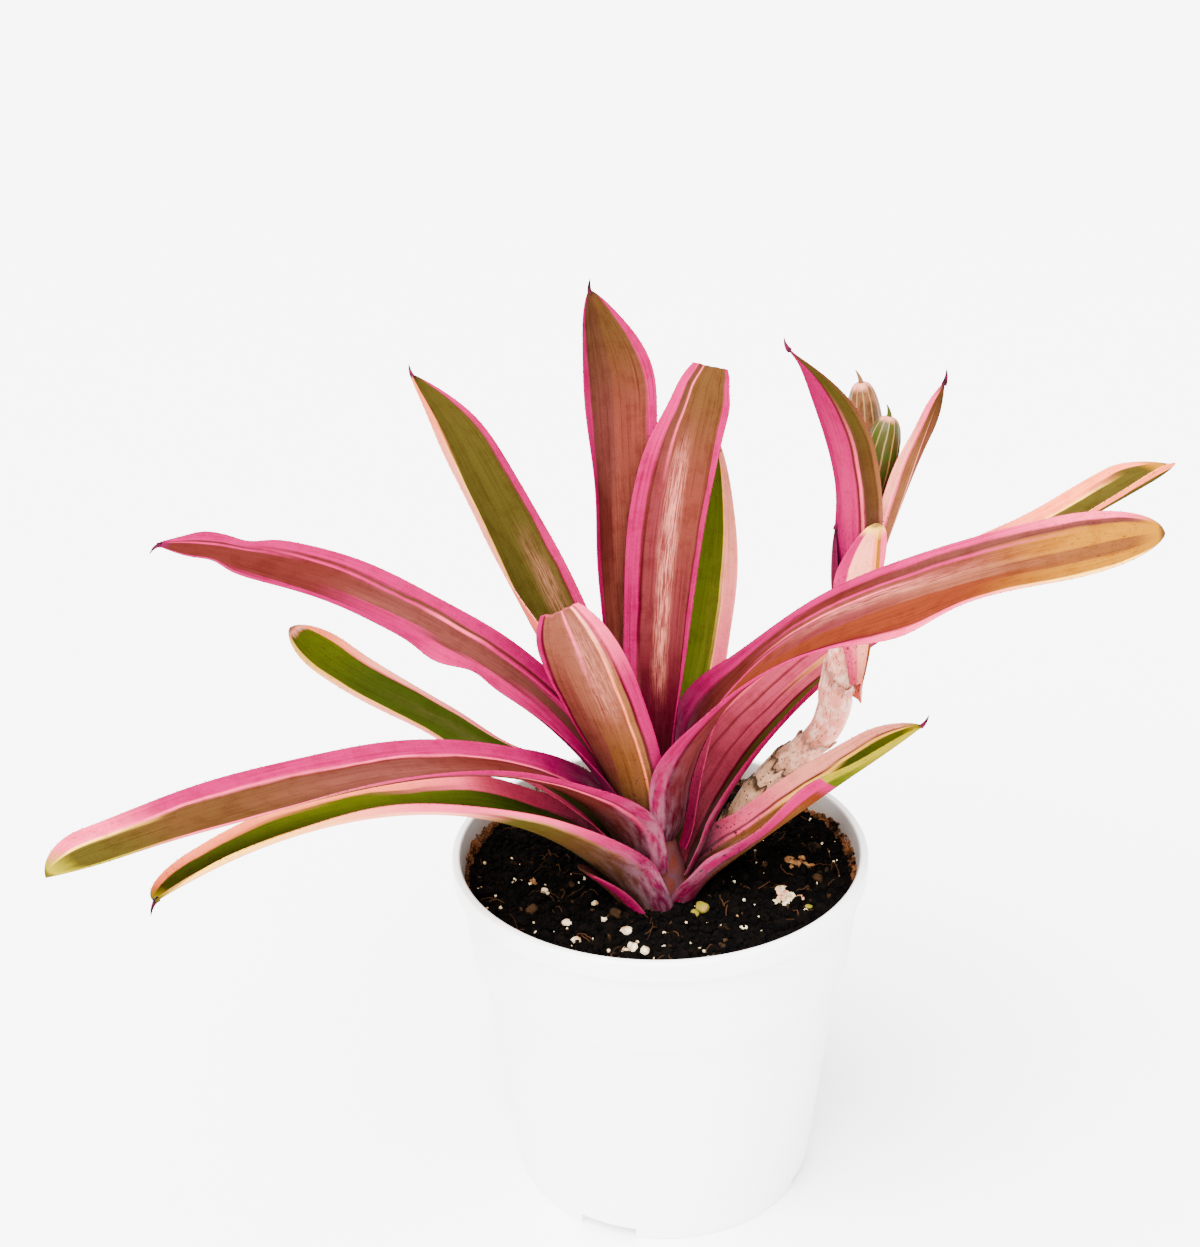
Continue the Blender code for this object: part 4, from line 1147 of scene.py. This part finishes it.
@dataclass(frozen=True)
class Litter(Scatter):
    """Loose bits scattered on the soil: how many, how large, how lumpy and their finish."""
    name: str
    count: int
    smallest: float
    largest: float
    squash: float
    finish: PlainFinish
    seed: int
    detail: int = 1

    def model(self, graph: Graph, given: dict) -> tuple:
        """A turned, scaled, dented lump."""
        lump = graph.node("GeometryNodeMeshIcoSphere", None, {"Radius": 1.0, "Subdivisions": self.detail})
        spot = graph.node("GeometryNodeInputPosition")
        dents = graph.node("ShaderNodeTexNoise", None, {"Vector": spot, "Scale": 1.4, "Detail": 2.0}, 1)
        push = graph.node("ShaderNodeVectorMath", {"operation": "SUBTRACT"}, {0: dents, 1: (0.5, 0.5, 0.5)})
        lump = graph.node("GeometryNodeSetPosition", None,
                          {"Geometry": lump, "Offset": graph.scaled(push, (1.3, 1.3, 1.3))})
        turn = graph.node("FunctionNodeRandomValue", {"data_type": "FLOAT_VECTOR"},
                          {0: (0, 0, 0), 1: (math.tau, math.tau, math.tau), "Seed": given["Seed"]})
        size = graph.node("FunctionNodeRandomValue", {"data_type": "FLOAT"},
                          {2: given["Smallest"], 3: given["Largest"], "Seed": given["Seed"] + 7}, 1)
        squash = given["Squash"]
        return lump, turn, graph.vector(size, size * (0.75 + 0.25 * squash), size * squash)

    def build(self, places: Array) -> Object:
        """Lay the bits at places given in metres."""
        sizes = {"Smallest": self.smallest * MM, "Largest": self.largest * MM, "Squash": self.squash}
        return enrol(self.scatter(self.name, places, self.finish.material(self.name), self.seed, sizes),
                     "soil")


@dataclass(frozen=True)
class Clump:
    """Larger bits at places of their own: x, y and size in millimetres; with grains, each is a heap."""
    name: str
    spots: tuple
    finish: PlainFinish
    roughness: float = 0.35
    grains: int = 0

    def bits(self, rng: np.random.Generator) -> list:
        """Place, size and lift of every bit."""
        if not self.grains:
            return [(x, y, size, size * 0.25) for x, y, size in self.spots]
        return [(x + rng.normal(0, size * 0.45), y + rng.normal(0, size * 0.45),
                 size * rng.uniform(0.16, 0.36), size * rng.uniform(0.0, 0.35))
                for x, y, size in self.spots for _ in range(self.grains)]


CRUMB = PlainFinish(Tone.SOIL, Tone.SOIL_BROWN, 1.0, 0.25, 0.9)
PERLITE = PlainFinish(Tone.PERLITE, Tone.BEIGE, 0.8, 0.12, 0.8)
LITTER = (
    Litter("peat_crumbs", 5200, 0.25, 1.0, 0.8, CRUMB, 11),
    Litter("peat_lumps", 420, 0.9, 2.2, 0.7, CRUMB, 12, 2),
    Litter("bark_bits", 150, 0.4, 1.5, 0.4, PlainFinish(Tone.BARK, Tone.SOIL_BROWN, 1, 0.2, 0.7), 13),
    Litter("perlite_grit", 240, 0.2, 0.65, 0.85, PERLITE, 14),
)
WALL_CRUST = Litter("wall_crust", 3600, 0.25, 0.8, 0.7,
                    PlainFinish(Tone.SOIL_BROWN, Tone.TAN, 1.4, 0.2, 0.9), 31)
CLUMPS = (
    Clump("perlite_lumps", (
        (-9.5, -27, 1.6), (-8, -33.5, 1.9), (-9.8, -34.6, 1.2), (-5, -36, 1.5), (-24, -22, 1.4),
        (-22, -31, 1.4), (33, -14, 1.7), (31, -10, 1.4), (29, -14.5, 1.3), (31.5, -15.8, 1.2),
        (20, -26, 0.9), (-30, -8, 1.1), (36, -20, 0.9), (-17, -14, 0.9), (-15, -22, 1.0)), PERLITE),
    Clump("pale_clumps", ((31.5, -12, 2.6), (34, -14.5, 1.8)),
          PlainFinish(Tone.PAPER, Tone.TAN, 0.6, 0.4, 0.9), grains=30),
    Clump("tan_clumps", ((36.5, 2, 3.0), (-33, -2, 1.6)),
          PlainFinish(Tone.TAN, Tone.BEIGE, 0.6, 0.4, 0.9), grains=34),
    Clump("mossy_clumps", ((10, -19, 1.7), (8.2, -19.8, 1.2), (9.4, -17.6, 1.0), (37, -18, 0.9)),
          PlainFinish(Tone.MOSS, Tone.BEIGE, 1.0, 0.3, 0.8)),
    Clump("bark_chips", ((42, 9, 2.0), (41, -6, 1.8), (-33, -17, 2.2), (14, -31, 1.8), (-12, -20, 1.7)),
          PlainFinish(Tone.BARK, Tone.SOIL_BROWN, 1.4, 0.3, 0.75)),
)


@dataclass(frozen=True)
class Soil:
    """The plug of potting mix, its loose bits, its fibres and the crust on the wall, in millimetres."""
    pot: Pot
    level: float = 86
    relief: float = 0.55
    crust: float = 2.2
    clearance: float = 0.5
    rings: int = 90
    segments: int = 240
    fibre_count: int = 150
    fibre_reach: float = 48
    crust_top: float = 93
    seed: int = 3

    def inner_radius(self, height: float) -> float:
        """Radius of the pot's inside at a height."""
        radii, heights = zip(*self.pot.inside())
        return float(np.interp(height, heights, radii))

    def height(self, x: Array, y: Array) -> Array:
        """Height of the soil at a place."""
        lumps = np.sin(x * 0.23 + 1.1) * np.cos(y * 0.19) + 0.6 * np.sin((x - 2 * y) * 0.31)
        small = np.sin(x * 0.9 + 2) * np.sin(y * 0.8) + np.sin((x + y) * 1.3 + 1) * np.cos((x - y) * 1.1)
        grit = np.sin(x * 2.3 + y * 1.1) * np.sin(y * 2.9 - x * 0.7)
        reach = np.hypot(x, y) / self.inner_radius(self.level)
        crust = self.crust * np.clip(reach - 0.8, 0, None) / 0.2 * (
            0.5 + 0.5 * np.sin(np.arctan2(y, x) + 0.15))
        return self.level + self.relief * lumps + 0.35 * small + 0.22 * grit + crust

    def material(self) -> Material:
        """Near-black peat with brown flecks and a damp glint."""
        skin = Surface("soil_peat", 0.85, 0.02)
        graph, place = skin.graph, skin.place()
        lumps, flecks = graph.noise(place, 260, 5, 0.7), graph.noise(place, 1500, 3, 0.7)
        skin.start(lumps.between(0.42, 0.7), Tone.SOIL, Tone.SOIL_BROWN)
        skin.lay(flecks.between(0.62, 0.72) * 0.5, Tone.BARK)
        return skin.finish(0.95 - flecks.between(0.5, 0.75) * 0.4,
                           lumps * 0.6 + graph.cells(place, 900) * 0.4, 0.9)

    def build(self) -> None:
        """The plug and everything lying on it."""
        floor, angles = self.pot.floor + GAP, turns(self.segments)
        loops = [(0.2, floor), ((self.inner_radius(floor) - self.clearance) * 0.6, floor)]
        loops += [(self.inner_radius(height) - self.clearance, height) for height in (floor, 63, 67, 83)]
        rows = [round_points(radius, angles, height) for radius, height in loops]
        edge = self.inner_radius(self.level) - self.clearance
        for ring in range(self.rings):
            x, y, _ = round_points(edge * (1 - ring / self.rings), angles, 0).T
            rows.append(np.stack([x, y, self.height(x, y)], -1))
        faces = tube_faces(len(rows), self.segments)
        enrol(make_piece("soil_plug", np.concatenate(rows) * MM, faces, self.material(), sharp=80),
              "soil", "soil")
        rng = np.random.default_rng(self.seed)
        for litter in LITTER:
            litter.build(self.strewn(rng, litter.count, 0.3))
        for clump in CLUMPS:
            self.lay(clump, rng)
        WALL_CRUST.build(self.on_wall(rng, WALL_CRUST.count))
        self.fibres(rng)

    def strewn(self, rng: np.random.Generator, count: int, sink: float) -> Array:
        """Random places on the soil, in metres, sunk a little."""
        reach = np.sqrt(rng.uniform(0, 1, count)) * (self.inner_radius(self.level) - 1.8)
        x, y, _ = round_points(reach, rng.uniform(0, math.tau, count), 0).T
        return np.stack([x, y, self.height(x, y) - sink + rng.uniform(0, 0.7, count)], -1) * MM

    def lay(self, clump: Clump, rng: np.random.Generator) -> None:
        """Larger bits, each a dented lump of its own."""
        ball = bmesh.new()
        bmesh.ops.create_icosphere(ball, subdivisions=2 if clump.grains else 3, radius=1)
        sphere = np.array([tuple(vertex.co) for vertex in ball.verts])
        faces = [tuple(vertex.index for vertex in face.verts) for face in ball.faces]
        ball.free()
        parts = []
        for x, y, size, lift in clump.bits(rng):
            dents = sum(np.sin(sphere @ rng.normal(0, 2.2, 3) + rng.uniform(0, 6)) for _ in range(7))
            points = sphere * (1 + clump.roughness * dents[:, None] / 5)
            points = points * rng.uniform(0.7, 1.15, 3) * size * np.array([1, 1, 0.7])
            parts.append(((points + (x, y, self.height(x, y) + lift)) * MM, faces))
        enrol(make_piece(clump.name, *merged(parts), clump.finish.material(clump.name), sharp=35), "soil")

    def on_wall(self, rng: np.random.Generator, count: int) -> Array:
        """Places, in metres, on the inner wall above the soil, at the sides and the back."""
        places = []
        while len(places) < count:
            turn = rng.uniform(-0.75, math.pi + 0.75)
            rise = abs(rng.normal(0, 2.1)) * (0.6 + 0.45 * math.sin(turn * 5 + 1) * math.sin(turn * 2.3))
            height = self.level + 0.6 + rise
            if height > self.crust_top:
                continue
            radius = self.inner_radius(height) - rng.uniform(0.1, 0.8)
            places.append((radius * math.cos(turn), radius * math.sin(turn), height))
        return np.array(places) * MM

    def fibres(self, rng: np.random.Generator) -> None:
        """Curled brown fibres lying about the soil."""
        parts = []
        for _ in range(self.fibre_count):
            x, y, _ = self.strewn(rng, 1, 0)[0] / MM
            length, turn, curl = rng.uniform(3, 9), rng.uniform(0, math.tau), rng.normal(0, 0.25)
            heading = turn + curl * np.linspace(0, length, 10)
            x = x + np.cumsum(np.cos(heading)) * length / 10
            y = y + np.cumsum(np.sin(heading)) * length / 10
            keep = np.hypot(x, y) < self.fibre_reach
            if keep.sum() < 5:
                continue
            x, y = x[keep], y[keep]
            arch = np.sin(np.linspace(0, math.pi, len(x))) * rng.uniform(0.2, 1.6)
            centres = np.stack([x, y, self.height(x, y) + 0.25 + arch], -1)
            parts.append(tube(centres * MM, np.full(len(x), rng.uniform(0.06, 0.16)) * MM, 5, (0, 0, 1)))
        skin = PlainFinish(Tone.BARK, Tone.BROWN, 2, 0.05, 0.7).material("soil_fibres")
        enrol(make_piece("soil_fibres", *merged(parts), skin), "soil")


def build_stem(rings: int = 24, sides: int = 40) -> Object:
    """The short stem inside the leaf bases, with low rings of leaf scars."""
    climbs = np.linspace(0, np.linalg.norm(STEM.span), rings)
    centres, radii = zip(*(STEM.point(climb) for climb in climbs))
    points, faces = tube(np.array(centres) * MM,
                         (np.array(radii) - 0.15 * (1 + np.sin(climbs * 1.9))) * MM, sides)
    skin = PlainFinish(Tone.SIENNA, Tone.MAUVE, 1.6, 0.2, 0.6).material("stem_bark")
    return enrol(make_piece("stem_core", points, faces, skin, outward=False), "stem", "stem")


@dataclass(frozen=True)
class Scale:
    """One papery sheath on the runner: where it starts and ends, its radii, and its ragged, slanted rim."""
    start: float
    stop: float
    foot_radius: float
    rim_radius: float
    ragged: float
    slant: float
    lean: float


@dataclass(frozen=True)
class Runner:
    """The stolon that carries the pup, wrapped in overlapping papery sheaths, in millimetres."""
    route: tuple = ((11.5, 6, 78), (12.5, 6, 83.6), (17.2, 6, 93.7), (25.9, 6, 106.9), (32.1, 6, 114.0),
                    (38, 5, 119), (42.5, 4.2, 124.4), (44.6, 4, 129.5), (45.6, 4, 134))
    lean: float = 1.4
    sides: int = 56
    core_rows: int = 90
    scale_rows: int = 26
    thickness: float = 0.25
    seed: int = 8
    scales: tuple = (
        Scale(1, 17, 2.0, 3.1, 2.2, 2.4, 0.4), Scale(9, 27, 1.7, 3.2, 2.4, 2.6, 2.4),
        Scale(18, 36, 1.9, 3.4, 2.2, 2.8, 5.2), Scale(28, 46, 2.2, 3.7, 2.2, 2.4, 1.2),
        Scale(38, 56, 2.5, 4.0, 1.8, 2.0, 3.6), Scale(50, 76, 3.5, 4.3, 1.4, 2.6, 0.6),
        Scale(67, 92, 3.6, 4.5, 1.2, 3.0, 4.2),
    )

    def path(self) -> tuple:
        """Centre line of the runner and of the pup's stem, and the distance along it."""
        stops = np.array((self.route[0], *self.route, self.route[-1]), float)
        line = []
        for before, here, there, after in zip(stops, stops[1:], stops[2:], stops[3:]):
            for share in np.linspace(0, 1, 12, endpoint=False):
                line.append(0.5 * (2 * here + share * (there - before)
                                   + share ** 2 * (2 * before - 5 * here + 4 * there - after)
                                   + share ** 3 * (3 * here - before - 3 * there + after)))
        line += [PUP_STEM.point(climb)[0] - (self.lean * (1 - float(smooth(climb / 18))), 0, 0)
                 for climb in np.linspace(0, 48, 60)]
        line = np.array(line)
        return line, np.concatenate([[0], np.cumsum(np.linalg.norm(np.diff(line, axis=0), axis=1))])

    def material(self) -> Material:
        """Papery skin, blush by the pup and grey lower down, with reddish dashes, brown torn rims and painted
        shade at the foot of each sheath.
        """
        skin = Surface("runner_scales", 0.62, 0.12)
        graph = skin.graph
        around, along, share = skin.blade()
        flat, aged = graph.vector(around * 30, along * 100, 0.0), (along * 100).between(62, 38)
        fibre, cloud = graph.grain(flat, 1.3, 0.06, 4, 0.65), graph.noise(flat, 0.28, 4, 0.65)
        skin.start(cloud.between(0.36, 0.66) * 0.7, Tone.PAPER, Tone.BEIGE)
        fresh = graph.blend(cloud.between(0.34, 0.56), Tone.PEARL.rgba, Tone.BLUSH.rgba)
        skin.colour = graph.blend(aged, fresh, skin.colour)
        skin.lay(fibre.between(0.52, 0.7) * (0.2 + aged * 0.3), Tone.MAUVE)
        dashes = graph.dots(flat, 1.3, 0.28, 0.2, 0.13) * graph.noise(flat, 0.35, 2).between(0.44, 0.56)
        skin.lay(dashes * 0.85, Tone.RUSSET)
        spots = graph.dots(flat, 0.6, 0.6, 0.2, 0.12) * aged * graph.noise(flat, 0.4, 2).between(0.48, 0.56)
        skin.lay(spots, Tone.DRIED)
        rim = (share + (fibre - 0.5) * 0.12 + (cloud - 0.5) * 0.1).between(0.86, 0.97)
        skin.lay(rim * (0.45 + aged * 0.5), Tone.BARK)
        # Painted shade at the foot of each sheath, under the rim of the sheath before it.
        skin.shade(share.between(0.42, 0.2) * 0.55)
        return skin.finish(0.5 + aged * 0.25 + (cloud - 0.5) * 0.2, fibre * 0.7 + cloud * 0.3, 0.2)

    def build(self) -> None:
        """The core and its sheaths as one piece."""
        line, reach = self.path()
        along = unit(np.gradient(line, axis=0))
        across = unit(np.cross(along, (0.0, 1.0, 0.0)))
        tables, angles = (line, across, np.cross(across, along)), turns(self.sides)
        parts, uvs, rim_shares = [], [], []

        def add(distance: Array, radius: Array, age: object, shift: float, faces: list) -> None:
            """Add rows of points round the route, at distances along it, with their share of the way from a
            sheath's foot to its rim and their faces.
            """
            radius = np.broadcast_to(radius, distance.shape)[..., None]
            centre, level, lift = (
                np.stack([np.interp(distance, reach, table[:, part]) for part in range(3)], -1)
                for table in tables)
            points = centre + radius * (level * np.cos(angles)[:, None] + lift * np.sin(angles)[:, None])
            parts.append((points.reshape(-1, 3) * MM, faces))
            around = np.tile(angles / math.tau, len(distance)) + shift
            uvs.append(np.stack([around, distance.ravel() / 100], -1))
            rim_shares.append(np.broadcast_to(age, distance.shape).ravel())

        rows = np.linspace(0, reach[-1], self.core_rows)
        core = np.interp(rows, [0, 50, 62, reach[-1]], [1.8, 2.4, 3.2, 1.5])[:, None]
        add(np.broadcast_to(rows[:, None], (len(rows), self.sides)), core, 0.5, 0.0,
            tube_faces(len(rows), self.sides))
        rng = np.random.default_rng(self.seed)
        count = 2 * self.scale_rows
        faces = grid_faces(count, self.sides, closed=True)
        last = (count - 1) * self.sides
        faces += [(last + index, last + (index + 1) % self.sides, (index + 1) % self.sides, index)
                  for index in range(self.sides)]
        for scale in self.scales:
            rag = sum(rng.uniform(0.3, 1) * np.sin(angles * waves + rng.uniform(0, 6))
                      for waves in (2, 3, 5, 8, 13, 17)) / 3
            stop = scale.stop + scale.ragged * rag - scale.slant * (1 - np.cos(angles - scale.lean))
            share = np.linspace(0, 1, self.scale_rows)[:, None]
            distance = scale.start + (stop - scale.start)[None, :] * share
            swell = 0.3 * np.sin(share * math.pi) + 0.45 * np.clip(share - 0.85, 0, 1) / 0.15
            crinkle = 0.18 * np.sin(angles * 9 + scale.lean + 5 * share) * share
            radius = scale.foot_radius + (scale.rim_radius - scale.foot_radius) * share + swell + crinkle
            there_and_back = [np.concatenate([outer, inner[::-1]]) for outer, inner in (
                (distance, distance), (radius, radius - self.thickness), (share, share))]
            add(*there_and_back, scale.lean, faces)
        piece = make_piece("runner", *merged(parts), self.material(), np.concatenate(uvs),
                           np.concatenate(rim_shares))
        enrol(piece, "stolon", "stolon")


@dataclass(frozen=True)
class Bud:
    """A rolled young leaf of the pup: foot, tip, radius and bow in millimetres, and its stripes."""
    name: str
    slot: str
    foot: tuple
    tip: tuple
    radius: float
    bow: tuple
    tones: tuple
    seam: float
    rings: int = 64
    sides: int = 64
    widest: float = 0.6
    end_radius: float = 0.9

    def material(self) -> Material:
        """Stripes along the roll, paler towards the tip."""
        skin = Surface(self.name, 0.36, 0.08)
        graph = skin.graph
        around, along, _ = skin.blade()
        flat = graph.vector(around * 26, along * 34, 0.0)
        fibre, cloud = graph.grain(flat, 2.0, 0.08, 4, 0.6), graph.noise(flat, 0.25, 3)
        wave = graph.node("ShaderNodeTexWave", {"bands_direction": "X"},
                          {"Vector": flat, "Scale": 0.15, "Distortion": 1.2, "Detail": 2.0})
        skin.start(cloud.between(0.35, 0.65), *self.tones)
        skin.lay(wave.between(0.88, 0.98) * 0.7, Tone.BEIGE)
        skin.shade(fibre.between(0.55, 0.75) * 0.5)
        skin.lay((along + (cloud - 0.5) * 0.1).between(0.94, 1.0) * 0.6, Tone.BLUSH)
        return skin.finish(0.3 + cloud * 0.15, fibre * 0.8 + wave * 0.2, 0.18, Coat_Weight=0.1 - cloud * 0.1)

    def build(self) -> Object:
        """The roll with its overlapping edge and a hooked tip."""
        foot, tip, bow = np.array(self.foot, float), np.array(self.tip, float), np.array([*self.bow, 0.0])
        share = np.linspace(0, 1, self.rings)[:, None]
        below = np.sin(math.pi * np.minimum(share / (2 * self.widest), 0.5))
        above = np.sqrt(np.clip(1 - ((share - self.widest) / (1 - self.widest)) ** 2, 0, 1))
        swell = np.where(share < self.widest, below, above)
        radii = self.end_radius + (self.radius - self.end_radius) * swell
        centres = foot + (tip - foot) * share + bow * np.sin(math.pi * share)
        around = np.arange(self.sides) / self.sides
        roll = (around + self.seam + share * 0.18) % 1
        ridge = 0.055 * np.exp(-(((roll + 0.5) % 1 - 0.5) / 0.05) ** 2) + 0.05 * (1 - roll) * share
        ribs = 0.012 * np.sin(around * math.tau * 11)
        body = tube(centres * MM, radii * (1 + ridge + ribs) * MM, self.sides)
        step = np.linspace(0, 1, 8)[:, None]
        hook = tip + unit(tip - foot) * (3.6 * step - 0.6) + np.array([-1.1, 0.2, 0]) * step ** 2
        barb = tube(hook * MM, np.linspace(0.8, 0.12, 8) * MM, 10)
        uv = np.stack(np.meshgrid(around, share), -1).reshape(-1, 2)
        uv = np.vstack([uv, np.tile([0.5, 0.86], (len(barb[0]), 1))])
        return enrol(make_piece(self.name + "_skin", *merged([body, barb]), self.material(), uv),
                     self.slot, self.name)


BUDS = (
    Bud("pup_bud_brown", "leaf_rose", (54.2, 13.05, 180.35), (51.4, 18.2, 212.0), 4.4, (0.5, 2.5),
        (Tone.KHAKI, Tone.TAN), 0.62),
    Bud("pup_bud_green", "leaf_olive", (54, 11, 181.2), (57, 9, 206), 4.2, (-0.8, -1.2),
        (Tone.OLIVE, Tone.GREEN), 0.30),
)


@dataclass(frozen=True)
class Studio:
    """The pale floor, the soft lights and the camera at the photograph's angle."""
    camera_place: tuple = (-0.01372, -0.38366, 0.3239)
    pitch: float = 23.381
    roll: float = -1.642
    focal: float = 49.08
    sensor: float = 36.0
    floor_size: float = 60.0
    sun: tuple = (-0.35, -0.45, 1.2)
    sun_strength: float = 24.0
    sun_softness: float = 75.0
    lamp_place: tuple = (0.15, -1.6, 0.5)
    lamp_aim: tuple = (0, 0, 0.12)
    lamp_size: float = 0.5
    lamp_power: float = 17.0
    world_strength: float = 1.75

    def build(self) -> None:
        """Set the stage."""
        half = self.floor_size / 2
        corners = [(-half, -half, 0), (half, -half, 0), (half, half, 0), (-half, half, 0)]
        skin = Surface("floor_paper", 0.9, 0.2)
        skin.start(skin.graph.noise(skin.place(), 8, 2), Tone.FLOOR, Tone.FLOOR_LIGHT)
        make_piece("floor", corners, [(0, 1, 2, 3)], skin.feed(), outward=False)
        world = bpy.data.worlds.new("studio_white")
        world.use_nodes = True
        background = world.node_tree.nodes["Background"]
        background.inputs[0].default_value = (1, 1, 1, 1)
        background.inputs[1].default_value = self.world_strength
        bpy.context.scene.world = world
        key = bpy.data.lights.new("key", "SUN")
        key.energy, key.angle = self.sun_strength, math.radians(self.sun_softness)
        self.aim(key, (0, 0, 0), Vector(self.sun).to_track_quat("Z", "Y"))
        front = bpy.data.lights.new("front", "AREA")
        front.shape, front.size, front.energy = "SQUARE", self.lamp_size, self.lamp_power
        aim = (Vector(self.lamp_aim) - Vector(self.lamp_place)).to_track_quat("-Z", "Y")
        self.aim(front, self.lamp_place, aim)
        self.camera()

    @staticmethod
    def aim(data: ID, place: tuple, turn: Quaternion) -> None:
        """Stand a light at a place with a turn."""
        thing = placed(data.name, data)
        thing.location, thing.rotation_euler = place, turn.to_euler()

    def camera(self) -> None:
        """The camera at the photograph's place."""
        data = bpy.data.cameras.new("camera")
        data.sensor_fit, data.sensor_height, data.lens = "VERTICAL", self.sensor, self.focal
        data.clip_start, data.clip_end = 0.01, 20
        thing = placed("camera", data)
        pitch, roll = math.radians(self.pitch), math.radians(self.roll)
        forth = Vector((0, math.cos(pitch), -math.sin(pitch)))
        level, lift = Vector((1, 0, 0)), Vector((0, math.sin(pitch), math.cos(pitch)))
        right = level * math.cos(roll) + lift * math.sin(roll)
        up = lift * math.cos(roll) - level * math.sin(roll)
        turn = Matrix((right, up, -forth)).transposed().to_4x4()
        thing.matrix_world = Matrix.Translation(self.camera_place) @ turn
        bpy.context.scene.camera = thing


def main() -> None:
    """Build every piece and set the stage."""
    logging.basicConfig(level=logging.INFO, format="%(name)s %(message)s")
    pot = Pot()
    pot.build()
    for blade in BLADES:
        blade.build()
    Spines().build(BLADES)
    Soil(pot).build()
    build_stem()
    Runner().build()
    for bud in BUDS:
        bud.build()
    Studio().build()


if __name__ == "__main__":
    main()
